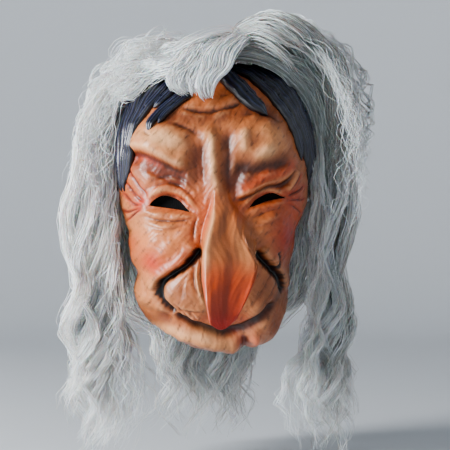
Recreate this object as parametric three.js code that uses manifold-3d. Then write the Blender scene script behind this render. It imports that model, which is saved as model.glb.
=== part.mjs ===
// A pull-on latex costume mask of an old crone, with a wig of long white hair sewn along its edge.
// Units are millimetres. +Z is up and the face looks along -Y, so the wearer's right is at -X.
// The origin is the middle of the wearer's head, level with the eye holes and in line with the ears.
import * as THREE from "three";
import { mergeVertices } from "three/addons/utils/BufferGeometryUtils.js";
import Module from "manifold-3d";

const { cos, sin, pow, abs, exp, sqrt, min, max, PI } = Math;
const { lerp, clamp, smoothstep, degToRad, radToDeg } = THREE.MathUtils;

// ---------- driving dimensions ----------

// The head form that every layer of the mask follows, as half sizes from its centre.
const HEAD = { centreZ: -20, halfWidth: 95, front: 104, back: 112, above: 150, below: 121 };
const UPPER_POWER = 3; // how square the form is above the eyes
const LOWER_POWER = 3.1; // and below them
const JAW = { z: -65, spread: 50, narrowing: 0.1, width: 0.96 };
const CHEEKS = { narrowing: 0.1, from: -5, to: 30 }; // below the eyes, as depths below the middle
const CHIN_SIDES = { narrowing: 0.12, from: 85, to: 125 };
const CHIN = { swing: 13, from: 55, to: 138 }; // the jaw swings to the wearer's left, lower and lower

// The rim of the latex, in degrees from the face's forward axis.
const RIM = { side: 97, top: 11, chin: 32 };

const LATEX = 2; // wall of the casting
const GAP = 0.4; // between layers that touch on the real mask

// The nose stands on a patch of the face from root to base, rises to its height and droops over the mouth.
const NOSE = { root: 12, base: -58, height: 45, droop: 66, ridge: -0.55, slope: 0.26, rounding: 0.16 };
// Its edges as seen from the front, from the root down to the tip: height, right edge, left edge.
const NOSE_EDGES = [
  [20, -5, 5],
  [-13, -7.5, 9],
  [-29, -13.5, 18],
  [-44, -16, 28],
  [-57, -15.5, 35],
  [-71, -14, 31],
  [-88, -12, 24],
  [-106, -9, 16],
  [-117, -2, 8],
];
const EYES = [
  { name: "right", x: -46, z: 0, outer: [-18, -4], inner: [18, -8], peak: [-1, 14], low: [0, -8] },
  { name: "left", x: 43, z: 0, outer: [19, 4], inner: [-19, -11], peak: [3, 15], low: [2, -6] },
];

// The cap, its bands and its wefts run over the crown: 90 degrees is straight up, 180 straight back.
const CAP = { front: 100, nape: 204, reach: 72, thick: 1.2 };
const BAND = { wide: 4.2, thick: 1 };
const WEFT = { count: 5, first: 118, last: 190, wide: 2.4, thick: 1.3, reach: 62 };

const STRAP = { z: 15, high: 18, thick: 1.2, side: 84.6, back: 90, straight: 44, cornerY: 32 };
const SLIDER = { wide: 22, high: 25, thick: 4.4, bar: 3 };
const RIVET = { shank: 1.8, head: 4.5, headThick: 1.2, hole: 2.2 };

// How far the hair stands off the head form: on the crown, in the falls, and out at the sides.
const HAIR = { inner: 6, outer: 42, fallInner: 8.5, sideOuter: 57 };
const FALL = { top: 55, end: -256, gather: 0.4 }; // the long falls, and how far the back ones gather
const CROWN_HAIR_END = 56; // the height the hair of the crown comes down to

const COLOURS = {
  latex: { color: 0xd08a58, roughness: 0.5 },
  gauze: { color: 0x0a0a0a, roughness: 0.9 },
  cotton: { color: 0xcfc6b2, roughness: 0.95 },
  rivet: { color: 0xb9b9b4, roughness: 0.35, metalness: 1 },
  net: { color: 0xded9cc, roughness: 0.9 },
  elastic: { color: 0x1c1c1e, roughness: 0.85 },
  slider: { color: 0x151515, roughness: 0.4 },
  hair: { color: 0xe6e4dd, roughness: 0.45 },
};

// ---------- meshes from points ----------

const mask = new THREE.Group();
mask.name = "crone_mask";

function addNode(name, look, geometry) {
  const mesh = new THREE.Mesh(geometry, new THREE.MeshStandardMaterial(COLOURS[look]));
  mesh.name = name;
  mask.add(mesh);
}

// A closed body from points and triangles, turned so that its faces look out.
function closedBody(points, faces) {
  let volume = 0;
  for (let i = 0; i < faces.length; i += 3) {
    const [a, b, c] = faces.slice(i, i + 3).map((k) => points[k]);
    volume += a.dot(b.clone().cross(c));
  }
  const geometry = new THREE.BufferGeometry().setFromPoints(points);
  geometry.setIndex(volume < 0 ? faces.toReversed() : faces);
  geometry.computeVertexNormals();
  return geometry;
}

// The points of a sheet: rows run with s and columns with t, both from 0 to 1.
function sheet(rows, columns, point) {
  const line = (i) => Array.from({ length: columns + 1 }, (_, j) => point(i / rows, j / columns));
  return Array.from({ length: rows + 1 }, (_, i) => line(i));
}

// A closed plate between two sheets with the same rows and columns.
function plateBetween(outer, inner) {
  const rows = outer.length;
  const columns = outer[0].length;
  const faces = [];
  const at = (layer, i, j) => layer * rows * columns + i * columns + j;
  const quad = (a, b, c, d) => faces.push(a, b, c, a, c, d);
  for (let i = 0; i + 1 < rows; i++)
    for (let j = 0; j + 1 < columns; j++) {
      quad(at(0, i, j), at(0, i + 1, j), at(0, i + 1, j + 1), at(0, i, j + 1));
      quad(at(1, i, j), at(1, i, j + 1), at(1, i + 1, j + 1), at(1, i + 1, j));
    }
  for (let i = 0; i + 1 < rows; i++) {
    const last = columns - 1;
    quad(at(0, i, 0), at(1, i, 0), at(1, i + 1, 0), at(0, i + 1, 0));
    quad(at(0, i + 1, last), at(1, i + 1, last), at(1, i, last), at(0, i, last));
  }
  for (let j = 0; j + 1 < columns; j++) {
    const last = rows - 1;
    quad(at(0, 0, j + 1), at(1, 0, j + 1), at(1, 0, j), at(0, 0, j));
    quad(at(0, last, j), at(1, last, j), at(1, last, j + 1), at(0, last, j + 1));
  }
  return closedBody([...outer.flat(), ...inner.flat()], faces);
}

// A closed tube through rings of four points, with flat ends.
function squareTube(rings) {
  const faces = [];
  const quad = (a, b, c, d) => faces.push(a, b, c, a, c, d);
  for (let r = 0; r + 1 < rings.length; r++)
    for (let k = 0; k < 4; k++) {
      const next = (k + 1) % 4;
      quad(4 * r + k, 4 * r + next, 4 * r + 4 + next, 4 * r + 4 + k);
    }
  const end = 4 * (rings.length - 1);
  quad(3, 2, 1, 0);
  quad(end, end + 1, end + 2, end + 3);
  return closedBody(rings.flat(), faces);
}

// ---------- the head form ----------

const bell = (x, middle, spread) => exp(-(((x - middle) / spread) ** 2));

// The point of the head form in a direction from its centre, moved out by offset.
// How wide the form is at a height; only its front half is drawn in at the cheeks and the chin.
function narrowed(y, z) {
  const jaw = JAW.narrowing * bell(z, JAW.z, JAW.spread);
  const cheeks = CHEEKS.narrowing * smoothstep(-z, CHEEKS.from, CHEEKS.to);
  const chin = CHIN_SIDES.narrowing * smoothstep(-z, CHIN_SIDES.from, CHIN_SIDES.to);
  return JAW.width - jaw - (cheeks + chin) * (1 - smoothstep(y, 15, 55));
}

function onHead(direction, offset = 0) {
  const d = direction.clone().normalize();
  const power = lerp(UPPER_POWER, LOWER_POWER, smoothstep(-d.z, -0.2, 0.6));
  const halfX = HEAD.halfWidth + offset;
  const halfY = (d.y < 0 ? HEAD.front : HEAD.back) + offset;
  const halfZ = (d.z > 0 ? HEAD.above : HEAD.below) + offset;
  const sum = pow(abs(d.x) / halfX, power) + pow(abs(d.y) / halfY, power) + pow(abs(d.z) / halfZ, power);
  const p = d.multiplyScalar(pow(sum, -1 / power));
  p.z += HEAD.centreZ;
  p.x *= narrowed(p.y, p.z);
  return p;
}

// A direction by its angle from the forward axis and its turn round that axis, 90 being straight up.
function fromFront(away, turn) {
  const a = degToRad(away);
  const t = degToRad(turn);
  return new THREE.Vector3(sin(a) * cos(t), -cos(a), sin(a) * sin(t));
}

// A direction by its angle over the crown and its angle to the side, the left being positive.
function overCrown(over, sideways) {
  const o = degToRad(over);
  const s = degToRad(sideways);
  return new THREE.Vector3(sin(s), -cos(s) * cos(o), cos(s) * sin(o));
}

function rimAngle(turn) {
  const up = sin(degToRad(turn));
  return RIM.side + RIM.top * max(0, up) ** 2 - RIM.chin * pow(max(0, -up), 1.5);
}

// ---------- the face ----------

// How far the skin stands out of the head form at a place seen from the front.
function relief(x, z) {
  const side = abs(x);
  const brows = 8 * bell(side, 41, 24) * bell(z, 44, 17);
  const sockets = -11 * bell(side, 45, 22) * bell(z, 4, 13);
  const cheeks = 8 * bell(side, 50, 21) * bell(z, -36, 20);
  const muzzle = 9 * bell(side, 24, 24) * bell(z, -88, 18);
  const frown = 5 * bell(x, -2, 7) * bell(z, 32, 26);
  const chin = 12 * bell(side, 0, 46) * bell(z, -124, 14);
  const mouth = -6 * bell(side, 0, 52) * bell(z, -112 + side * side * 0.004, 5);
  const mouldedHair = 5 * smoothstep(side - 0.45 * (z - 60), 66, 82) * smoothstep(z, -14, 4);
  return brows + sockets + cheeks + muzzle + frown + chin + mouth + mouldedHair;
}

// The long nose: how much of its height a place on the face gets, and how far across the nose it is.
function noseShare(x, z) {
  const along = clamp((NOSE.root - z) / (NOSE.root - NOSE.base), 0, 1.2);
  const low = smoothstep(along, 0, 0.7);
  const across = (x - 7 * low) / (8 + 18 * low);
  const rise = pow(min(1, along / 0.76), 1.15) * (1 - smoothstep(along, 0.86, 1.08));
  const flanks = smoothstep(across, -1, NOSE.ridge) * (1 - smoothstep(across, 0.6, 1));
  const fall = 1 - NOSE.slope * clamp((across - NOSE.ridge) / 1.15, 0, 1);
  const rounding = 1 - NOSE.rounding * ((across + 0.15) / 0.8) ** 2;
  return { share: rise * flanks * fall, across, droop: pow(rise * flanks * rounding, 1.6) };
}

// Where a point of the nose comes to, from right edge to left edge, at a height.
function noseAcross(z, across) {
  const k = clamp(NOSE_EDGES.findIndex((row) => row[0] < z), 1, NOSE_EDGES.length - 1);
  const [above, below] = [NOSE_EDGES[k - 1], NOSE_EDGES[k]];
  const t = clamp((above[0] - z) / (above[0] - below[0]), 0, 1);
  const right = lerp(above[1], below[1], t);
  const left = lerp(above[2], below[2], t);
  return lerp(right, left, clamp((across + 0.8) / 1.6, -0.1, 1.1));
}

// The point of the latex, without its nose, in a direction from the head's centre, inset from its face.
function onFace(direction, inset = 0) {
  const p = onHead(direction, -inset);
  const out = new THREE.Vector3(p.x / HEAD.halfWidth, p.y / HEAD.front, (p.z - HEAD.centreZ) / HEAD.above);
  return p.addScaledVector(out.normalize(), relief(p.x, p.z) * smoothstep(-p.y, 5, 45));
}

function onSkin(direction, inset = 0) {
  const p = onFace(direction, inset);
  const { share, across, droop } = p.y < 0 ? noseShare(p.x, p.z) : { share: 0, across: 0, droop: 0 };
  p.x += CHIN.swing * smoothstep(-p.z, CHIN.from, CHIN.to) * (1 - share);
  p.y -= (NOSE.height - inset) * share;
  p.z -= (NOSE.droop - inset) * droop;
  const shaped = noseAcross(p.z, across * (1 - inset * 0.06));
  p.x = lerp(p.x, shaped, smoothstep(share, 0.1, 0.6));
  return p;
}

const LATEX_CELLS = 36;
const CROWDING = 0.62; // the casting's mesh is this much finer in the middle of the face

// A square of s and t laid on the disc inside the rim, so that the square's edge is the rim.
function facePoint(s, t, inset) {
  const a = 2 * s - 1;
  const b = 2 * t - 1;
  const u = a * sqrt(1 - (b * b) / 2);
  const v = b * sqrt(1 - (a * a) / 2);
  const share = min(1, Math.hypot(u, v));
  const turn = radToDeg(Math.atan2(v, u));
  const away = rimAngle(turn) * (CROWDING * share + (1 - CROWDING) * share ** 3);
  return onSkin(fromFront(away, turn), inset);
}

function eyeOutline({ outer, inner, peak, low }) {
  const outline = new THREE.Shape();
  outline.moveTo(outer[0], outer[1]);
  outline.quadraticCurveTo(lerp(outer[0], peak[0], 0.55), peak[1], peak[0], peak[1] - 4);
  outline.quadraticCurveTo(lerp(inner[0], peak[0], 0.45), peak[1] - 6, inner[0], inner[1]);
  outline.quadraticCurveTo(low[0], low[1] - 1, outer[0], outer[1]);
  return outline;
}

// A long plug in the shape of an eye hole, through the face from front to back.
function eyePlug(eye) {
  const depth = 90;
  const plug = new THREE.ExtrudeGeometry(eyeOutline(eye), { depth, bevelEnabled: false, curveSegments: 5 });
  return plug.rotateX(PI / 2).translate(eye.x, -50, eye.z);
}

// ---------- cutting ----------

const wasm = await Module();
wasm.setup();

function toSolid(geometry) {
  const bare = geometry.clone();
  bare.deleteAttribute("normal");
  bare.deleteAttribute("uv");
  const merged = mergeVertices(bare, 1e-3);
  const vertProperties = merged.attributes.position.array;
  const triVerts = new Uint32Array(merged.index.array);
  return new wasm.Manifold(new wasm.Mesh({ numProp: 3, vertProperties, triVerts }));
}

function cutFrom(geometry, tools) {
  const left = tools.reduce((rest, tool) => rest.subtract(toSolid(tool)), toSolid(geometry));
  const { vertProperties, triVerts } = left.getMesh();
  const result = new THREE.BufferGeometry();
  result.setAttribute("position", new THREE.BufferAttribute(vertProperties, 3));
  result.setIndex(new THREE.BufferAttribute(triVerts, 1));
  return result;
}

// ---------- the latex casting and the eye screens glued inside it ----------

const SIDES = [
  ["right", -1],
  ["left", 1],
];

const anchor = onSkin(new THREE.Vector3(HEAD.halfWidth, 0, STRAP.z - HEAD.centreZ));

// A round rod along X through a rivet's place.
function rivetRod(side, radius, from, to) {
  const rod = new THREE.CylinderGeometry(radius, radius, to - from, 18);
  return rod.rotateZ(PI / 2).translate((side * (from + to)) / 2, anchor.y, anchor.z);
}

const rivetHole = (side) => rivetRod(side, RIVET.hole, anchor.x - 16, anchor.x + 6);

function addLatexFace() {
  const outer = sheet(LATEX_CELLS, LATEX_CELLS, (s, t) => facePoint(s, t, 0));
  const inner = sheet(LATEX_CELLS, LATEX_CELLS, (s, t) => facePoint(s, t, LATEX));
  const holes = [...EYES.map(eyePlug), rivetHole(-1), rivetHole(1)];
  addNode("latex_face", "latex", cutFrom(plateBetween(outer, inner), holes));
}

function addEyeScreens() {
  const [wide, below, above, thick] = [27, 19, 16, 0.7];
  for (const { name, x } of EYES) {
    const aim = (s, t) => {
      const across = x + lerp(-wide, wide, s);
      return new THREE.Vector3(across, -HEAD.front * 0.93, lerp(-below, above, t) - HEAD.centreZ);
    };
    const front = sheet(8, 6, (s, t) => onFace(aim(s, t), LATEX + 2.5 * GAP));
    const back = sheet(8, 6, (s, t) => onFace(aim(s, t), LATEX + 2.5 * GAP + thick));
    addNode(`eye_screen_${name}`, "gauze", plateBetween(front, back));
  }
}

// ---------- the elastic strap with its patches, rivets and slider ----------

function addStrapPatches() {
  const [wide, thick] = [0.15, 0.8];
  for (const [name, side] of SIDES) {
    const aim = (s, t) => {
      const up = (anchor.z - HEAD.centreZ) / anchor.x;
      return new THREE.Vector3(side, lerp(-wide, wide, s), up + lerp(-wide, wide, t));
    };
    const outer = sheet(4, 4, (s, t) => onSkin(aim(s, t), LATEX + GAP));
    const inner = sheet(4, 4, (s, t) => onSkin(aim(s, t), LATEX + GAP + thick));
    addNode(`strap_patch_${name}`, "latex", cutFrom(plateBetween(outer, inner), [rivetHole(side)]));
  }
}

function addRivets() {
  const outerHead = anchor.x + 0.6;
  const innerHead = STRAP.side - STRAP.thick / 2 - GAP;
  const profile = [
    [0, innerHead - RIVET.headThick],
    [RIVET.head, innerHead - RIVET.headThick],
    [RIVET.head, innerHead],
    [RIVET.shank, innerHead],
    [RIVET.shank, outerHead],
    [RIVET.head, outerHead],
    [RIVET.head * 0.7, outerHead + RIVET.headThick],
    [0, outerHead + RIVET.headThick],
  ].map(([radius, along]) => new THREE.Vector2(radius, along));
  for (const [name, side] of SIDES) {
    const rivet = new THREE.LatheGeometry(profile, 18).rotateZ((-side * PI) / 2);
    addNode(`strap_rivet_${name}`, "rivet", rivet.translate(0, anchor.y, anchor.z));
  }
}

function addStrap() {
  const path = new THREE.Path();
  path.moveTo(-STRAP.side, anchor.y - 9);
  path.lineTo(-STRAP.side, STRAP.cornerY);
  const corner = 22;
  const [side, back] = [STRAP.side, STRAP.back];
  path.bezierCurveTo(-side, back - corner, -STRAP.straight - corner, back, -STRAP.straight, back);
  path.lineTo(0, STRAP.back);
  const half = path.curves.flatMap((curve, k) => curve.getPoints(k === 1 ? 12 : 1).slice(k ? 1 : 0));
  const run = [...half, ...half.slice(0, -1).reverse().map((p) => new THREE.Vector2(-p.x, p.y))];
  const rings = run.map((here, k) => {
    const along = run[min(k + 1, run.length - 1)].clone().sub(run[max(k - 1, 0)]).normalize();
    const out = new THREE.Vector2(-along.y, along.x).multiplyScalar(STRAP.thick / 2);
    const corner = (way, high) =>
      new THREE.Vector3(here.x + way * out.x, here.y + way * out.y, anchor.z + (high * STRAP.high) / 2);
    return [corner(1, 1), corner(1, -1), corner(-1, -1), corner(-1, 1)];
  });
  addNode("elastic_strap", "elastic", cutFrom(squareTube(rings), [rivetHole(-1), rivetHole(1)]));
}

// The slider is a flat ring that the strap runs through.
function addSlider() {
  const block = (x, y, z) => new THREE.BoxGeometry(x, y, z).translate(0, STRAP.back, anchor.z);
  const slot = block(SLIDER.wide + 2, STRAP.thick + 2 * GAP, STRAP.high + 2 * GAP);
  const windowWide = SLIDER.wide / 2 - 1.5 * SLIDER.bar;
  const windows = SIDES.map(([, side]) => {
    const middle = side * (SLIDER.bar / 2 + windowWide / 2);
    return block(windowWide, SLIDER.thick * 2, STRAP.high + 2 * GAP).translate(middle, 0, 0);
  });
  const body = block(SLIDER.wide, SLIDER.thick, SLIDER.high);
  addNode("strap_slider", "slider", cutFrom(body, [slot, ...windows]));
}

// ---------- the wig's cap, bands and wefts ----------

// A strip of cloth over the crown, from one angle to another and between two heights off the head.
function crownStrip(from, to, reach, height, thick, rows, columns) {
  const layer = (offset) =>
    sheet(rows, columns, (s, t) => onHead(overCrown(lerp(from, to, s), lerp(-reach, reach, t)), offset));
  return plateBetween(layer(height + thick), layer(height));
}

function addCap() {
  const height = 3 * GAP; // the edge of the latex lies under the cap
  addNode("wig_cap", "net", crownStrip(CAP.front, CAP.nape, CAP.reach, height, CAP.thick, 16, 20));
  const above = height + CAP.thick + 2 * GAP;
  const front = crownStrip(CAP.front, CAP.front + BAND.wide, CAP.reach - 1, above, BAND.thick, 1, 24);
  addNode("cap_front_band", "cotton", front);
  const nape = crownStrip(CAP.nape - BAND.wide, CAP.nape, CAP.reach - 12, above, BAND.thick, 1, 20);
  addNode("cap_nape_band", "cotton", nape);
  for (let k = 0; k < WEFT.count; k++) {
    const over = lerp(WEFT.first, WEFT.last, k / (WEFT.count - 1));
    const weft = crownStrip(over, over + WEFT.wide, WEFT.reach, above, WEFT.thick, 1, 20);
    addNode(`hair_weft_${k + 1}`, "cotton", weft);
  }
}

// ---------- the hair ----------

// The point of the hair's surface at a turn about Z and a height, 0 being forward and 90 the left.
function roundHead(turn, z, offset) {
  const t = degToRad(turn);
  const halfX = (HEAD.halfWidth + offset) * JAW.width;
  const halfY = (abs(turn) < 90 ? HEAD.front : HEAD.back) + offset;
  const height = max(0, z - HEAD.centreZ) / (HEAD.above + offset);
  const across = pow(abs(sin(t)) / halfX, UPPER_POWER) + pow(abs(cos(t)) / halfY, UPPER_POWER);
  const radius = pow((1 - pow(height, UPPER_POWER)) / across, 1 / UPPER_POWER);
  return new THREE.Vector3(radius * sin(t), -radius * cos(t), z);
}

// Long hair hanging between two turns about Z. The hair of the back gathers together lower down.
function hangingHair(fromTurn, toTurn, gather) {
  const layer = (isOuter) =>
    sheet(15, 6, (s, t) => {
      const gathered = lerp(1, gather, smoothstep(s, 0.3, 0.8));
      const turn = 180 + (lerp(fromTurn, toTurn, t) - 180) * gathered;
      const full = lerp(HAIR.outer, HAIR.sideOuter, sin(degToRad(turn)) ** 2);
      const ripple = 3 * sin(s * 9 + t * 3) * min(1, 4 * s);
      const offset = isOuter ? full + ripple : HAIR.fallInner;
      return roundHead(turn, lerp(FALL.top, FALL.end, s), offset);
    });
  return plateBetween(layer(true), layer(false));
}

function addHangingHair() {
  const falls = [
    ["hair_side_left", 72, 118, 1],
    ["hair_back_left", 120, 159, FALL.gather],
    ["hair_back_middle", 160, 200, FALL.gather],
    ["hair_back_right", 201, 240, FALL.gather],
    ["hair_side_right", 242, 288, 1],
  ];
  for (const [name, ...shape] of falls) addNode(name, "hair", hangingHair(...shape));
}

// Hair lying on the top of the head: the patch of the crown it covers and how thick it is.
function crownHair([from, to], [right, left], inner, outer, rows = 8, columns = 10) {
  const aim = (s, t) => overCrown(lerp(from, to, s), lerp(right, left, t));
  const rounding = (t) => 1 - 0.45 * pow(abs(2 * t - 1), 4);
  const top = sheet(rows, columns, (s, t) => onSkin(aim(s, t), -lerp(inner, outer(s, t), rounding(t))));
  const bottom = sheet(rows, columns, (s, t) => onSkin(aim(s, t), -inner));
  return plateBetween(top, bottom);
}

function addCrownHair() {
  const below = new THREE.BoxGeometry(500, 500, 400).translate(0, 0, CROWN_HAIR_END - 200);
  const dome = (s, t) => HAIR.outer - 12 + 18 * bell(t, 0.68, 0.3) * bell(s, 0.3, 0.9);
  const pieces = [
    ["hair_crown_front", crownHair([80, 104], [-66, 66], HAIR.inner, dome, 4, 22)],
    ["hair_crown_back", crownHair([105, 165], [-68, 68], HAIR.inner, () => HAIR.outer - 3, 8, 22)],
    ["hair_forelock", crownHair([50, 79], [-9, 16], 1.5, (s) => 9 + 18 * s)],
    ["hair_tuft_right", crownHair([58, 79], [-50, -14], 1.5, (s) => 8 + 12 * s)],
    ["hair_curl_left", crownHair([52, 79], [36, 60], 1.5, (s) => 20 + 10 * s)],
  ];
  for (const [name, piece] of pieces) addNode(name, "hair", cutFrom(piece, [below]));
}

addLatexFace();
addEyeScreens();
addStrapPatches();
addRivets();
addStrap();
addSlider();
addCap();
addHangingHair();
addCrownHair();

export default mask;
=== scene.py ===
"""The looks of a latex crone mask with a long white wig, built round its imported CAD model.

Lengths in this file are millimetres until a mesh is made; Blender gets metres. +Z is up, the face looks
along -Y and the wearer's left is +X.
"""
import math

import bpy
import numpy as np
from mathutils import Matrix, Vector
from mathutils.kdtree import KDTree


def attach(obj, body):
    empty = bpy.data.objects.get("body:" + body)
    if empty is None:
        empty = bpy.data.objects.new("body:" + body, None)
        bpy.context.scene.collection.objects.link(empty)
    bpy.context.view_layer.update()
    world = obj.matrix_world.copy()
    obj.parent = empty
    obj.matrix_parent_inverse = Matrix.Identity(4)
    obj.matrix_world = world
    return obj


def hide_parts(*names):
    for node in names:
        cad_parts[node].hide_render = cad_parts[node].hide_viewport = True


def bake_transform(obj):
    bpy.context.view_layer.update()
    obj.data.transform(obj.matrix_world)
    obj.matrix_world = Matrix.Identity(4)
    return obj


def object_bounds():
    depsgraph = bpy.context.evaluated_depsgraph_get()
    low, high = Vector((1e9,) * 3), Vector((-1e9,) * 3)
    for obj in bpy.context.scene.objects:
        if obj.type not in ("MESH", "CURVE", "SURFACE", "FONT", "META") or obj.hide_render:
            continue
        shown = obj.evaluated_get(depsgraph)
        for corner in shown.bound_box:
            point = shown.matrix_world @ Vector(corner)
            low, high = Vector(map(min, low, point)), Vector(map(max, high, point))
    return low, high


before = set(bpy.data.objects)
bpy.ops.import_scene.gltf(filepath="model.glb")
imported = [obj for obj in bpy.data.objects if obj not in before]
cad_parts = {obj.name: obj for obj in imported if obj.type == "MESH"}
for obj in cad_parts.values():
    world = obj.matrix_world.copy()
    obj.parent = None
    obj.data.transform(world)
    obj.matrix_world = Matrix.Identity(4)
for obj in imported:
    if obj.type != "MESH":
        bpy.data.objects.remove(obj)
cad_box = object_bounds()
rng = np.random.default_rng(41)

MM = 0.001
FLOOR_Z = -0.262
STAGE = {"flat": 1.6, "curve": 1.0, "wall": 3.5, "sides": 96}

# The camera's turn in degrees and its distance and aim in metres; the picture is VIEW_WIDTH across
# at VIEW_DISTANCE, where the nose is.
CAMERA_TURN, CAMERA_DISTANCE, CAMERA_AIM = -4, 1.42, (0.011, 0, -0.021)
VIEW_WIDTH, VIEW_DISTANCE, SENSOR = 0.414, 1.32, 36


# ---------- camera, lights and floor ----------

def add_camera():
    data = bpy.data.cameras.new("camera")
    camera = bpy.data.objects.new("camera", data)
    bpy.context.scene.collection.objects.link(camera)
    bpy.context.scene.camera = camera
    turn = math.radians(CAMERA_TURN)
    back = Vector((math.sin(turn), -math.cos(turn), 0))
    camera.location = Vector(CAMERA_AIM) + back * CAMERA_DISTANCE
    camera.rotation_mode = "QUATERNION"
    camera.rotation_quaternion = (-back).to_track_quat("-Z", "Y")
    data.sensor_width = SENSOR
    data.lens = SENSOR * VIEW_DISTANCE / VIEW_WIDTH
    data.dof.use_dof = False


def add_light(name, place, aim, size, power, colour):
    data = bpy.data.lights.new(name, "AREA")
    data.shape, data.size, data.energy, data.color = "DISK", size, power, colour
    light = bpy.data.objects.new(name, data)
    bpy.context.scene.collection.objects.link(light)
    light.location = place
    light.rotation_mode = "QUATERNION"
    light.rotation_quaternion = (Vector(aim) - Vector(place)).to_track_quat("-Z", "Y")


def add_world(colour, strength):
    world = bpy.data.worlds.new("studio")
    bpy.context.scene.world = world
    world.use_nodes = True
    background = world.node_tree.nodes["Background"]
    background.inputs["Color"].default_value = (*colour, 1)
    background.inputs["Strength"].default_value = strength


def add_stage():
    """A floor that curves up into a back wall all round, so that no horizon shows."""
    flat, curve, wall, sides = STAGE.values()
    profile = [(0, 0)]
    for k in range(1, 9):
        profile.append((flat * k / 8, 0))
    for k in range(1, 17):
        a = math.pi / 2 * k / 16
        profile.append((flat + curve * math.sin(a), curve * (1 - math.cos(a))))
    profile.append((flat + curve, wall))
    angle = np.linspace(0, 2 * np.pi, sides, endpoint=False)
    verts = [(0, 0, FLOOR_Z)]
    for r, z in profile[1:]:
        verts += [(r * math.cos(a), r * math.sin(a), FLOOR_Z + z) for a in angle]
    faces = [(0, 1 + k, 1 + (k + 1) % sides) for k in range(sides)]
    for ring in range(len(profile) - 2):
        for k in range(sides):
            a = 1 + ring * sides + k
            b = 1 + ring * sides + (k + 1) % sides
            faces.append((a, a + sides, b + sides, b))
    mesh = bpy.data.meshes.new("studio_floor")
    mesh.from_pydata(verts, [], faces)
    mesh.shade_smooth()
    floor = bpy.data.objects.new("studio_floor", mesh)
    bpy.context.scene.collection.objects.link(floor)
    material = bpy.data.materials.new("studio_paper")
    material.use_nodes = True
    shader = material.node_tree.nodes["Principled BSDF"]
    shader.inputs["Base Color"].default_value = (0.62, 0.65, 0.68, 1)
    shader.inputs["Roughness"].default_value = 0.9
    mesh.materials.append(material)


add_camera()


# ---------- meshes from arrays ----------

def make_mesh(name, points_mm, faces, colours=None, values=None):
    """A mesh object from an array of points in millimetres, with colours and numbers on its points."""
    mesh = bpy.data.meshes.new(name)
    mesh.from_pydata((np.asarray(points_mm) * MM).tolist(), [], np.asarray(faces).tolist())
    for key, colour in (colours or {}).items():
        rgba = np.ones((len(points_mm), 4), np.float32)
        rgba[:, :3] = colour
        mesh.color_attributes.new(key, "FLOAT_COLOR", "POINT").data.foreach_set("color", rgba.ravel())
    for key, value in (values or {}).items():
        attribute = mesh.attributes.new(key, "FLOAT", "POINT")
        attribute.data.foreach_set("value", np.asarray(value, np.float32).ravel())
    mesh.shade_smooth()
    piece = bpy.data.objects.new(name, mesh)
    bpy.context.scene.collection.objects.link(piece)
    return piece


def put(piece, material, body=None, node=None):
    """Give a piece its material and slot, and the body it rides and the CAD node it stands for."""
    piece.data.materials.append(material)
    if body:
        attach(piece, body)
    if node:
        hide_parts(node)
    return piece


def smooth(x, low, high):
    t = np.clip((x - low) / (high - low), 0, 1)
    return t * t * (3 - 2 * t)


def bell(x, middle, spread):
    return np.exp(-(((x - middle) / spread) ** 2))


def srgb(red, green, blue):
    """A colour as it is seen, 0 to 255, turned to the linear numbers that shaders take."""
    c = np.array([red, green, blue]) / 255
    return np.where(c <= 0.04045, c / 12.92, ((c + 0.055) / 1.055) ** 2.4)


def unit(v):
    return v / np.maximum(np.linalg.norm(v, axis=-1, keepdims=True), 1e-9)


def even(curve, count):
    """The curve's points moved so that they are evenly spaced, and the curve's length."""
    length = np.concatenate([[0], np.cumsum(np.linalg.norm(np.diff(curve, axis=0), axis=1))])
    at = np.linspace(0, length[-1], count)
    return np.stack([np.interp(at, length, curve[:, k]) for k in range(3)], axis=1), length[-1]


# ---------- the head form, as in the CAD ----------

CENTRE_Z, HALF_WIDTH, FRONT, BACK, ABOVE, BELOW = -20, 95, 104, 112, 150, 121
RIM_SIDE, RIM_TOP, RIM_CHIN = 97, 11, 32
LATEX = 2
# The jaw's swing to the wearer's left, a millimetre less than in the CAD, and the depths it grows between.
CHIN_SWING, CHIN_SWING_FROM, CHIN_SWING_TO = 12, 84, 136


def narrowed(y, z):
    drawn_in = 0.1 * smooth(-z, -5, 30) + 0.12 * smooth(-z, 85, 125)
    return 0.96 - 0.1 * bell(z, -65, 50) - drawn_in * (1 - smooth(y, 15, 55))


def on_head(direction, offset=0.0):
    d = direction / np.linalg.norm(direction, axis=-1, keepdims=True)
    power = 3 + 0.1 * smooth(-d[..., 2], -0.2, 0.6)
    half_x = HALF_WIDTH + offset
    half_y = np.where(d[..., 1] < 0, FRONT, BACK) + offset
    half_z = np.where(d[..., 2] > 0, ABOVE, BELOW) + offset
    total = (abs(d[..., 0]) / half_x) ** power + (abs(d[..., 1]) / half_y) ** power
    total = total + (abs(d[..., 2]) / half_z) ** power
    p = d * (total ** (-1 / power))[..., None]
    p[..., 2] += CENTRE_Z
    p[..., 0] *= narrowed(p[..., 1], p[..., 2])
    return p


def round_about(turn, z, offset=0.0):
    """The point of the head form at a turn about Z, 90 being the wearer's left, and a height."""
    lift = np.radians(np.linspace(-70, 88, 160))
    t = np.radians(np.asarray(turn, float))[..., None]
    direction = np.stack([np.cos(lift) * np.sin(t), -np.cos(lift) * np.cos(t),
                          np.broadcast_to(np.sin(lift), t.shape[:-1] + lift.shape)], -1)
    rows = on_head(direction, offset)
    flat, heights = rows.reshape(-1, len(lift), 3), np.broadcast_to(z, np.shape(turn)).ravel()
    out = [[np.interp(h, row[:, 2], row[:, c]) for c in range(3)] for row, h in zip(flat, heights)]
    return np.array(out).reshape(*np.shape(turn), 3)


def from_front(away, turn):
    a, t = np.radians(away), np.radians(turn)
    return np.stack([np.sin(a) * np.cos(t), -np.cos(a), np.sin(a) * np.sin(t)], axis=-1)


# ---------- the face ----------

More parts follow.
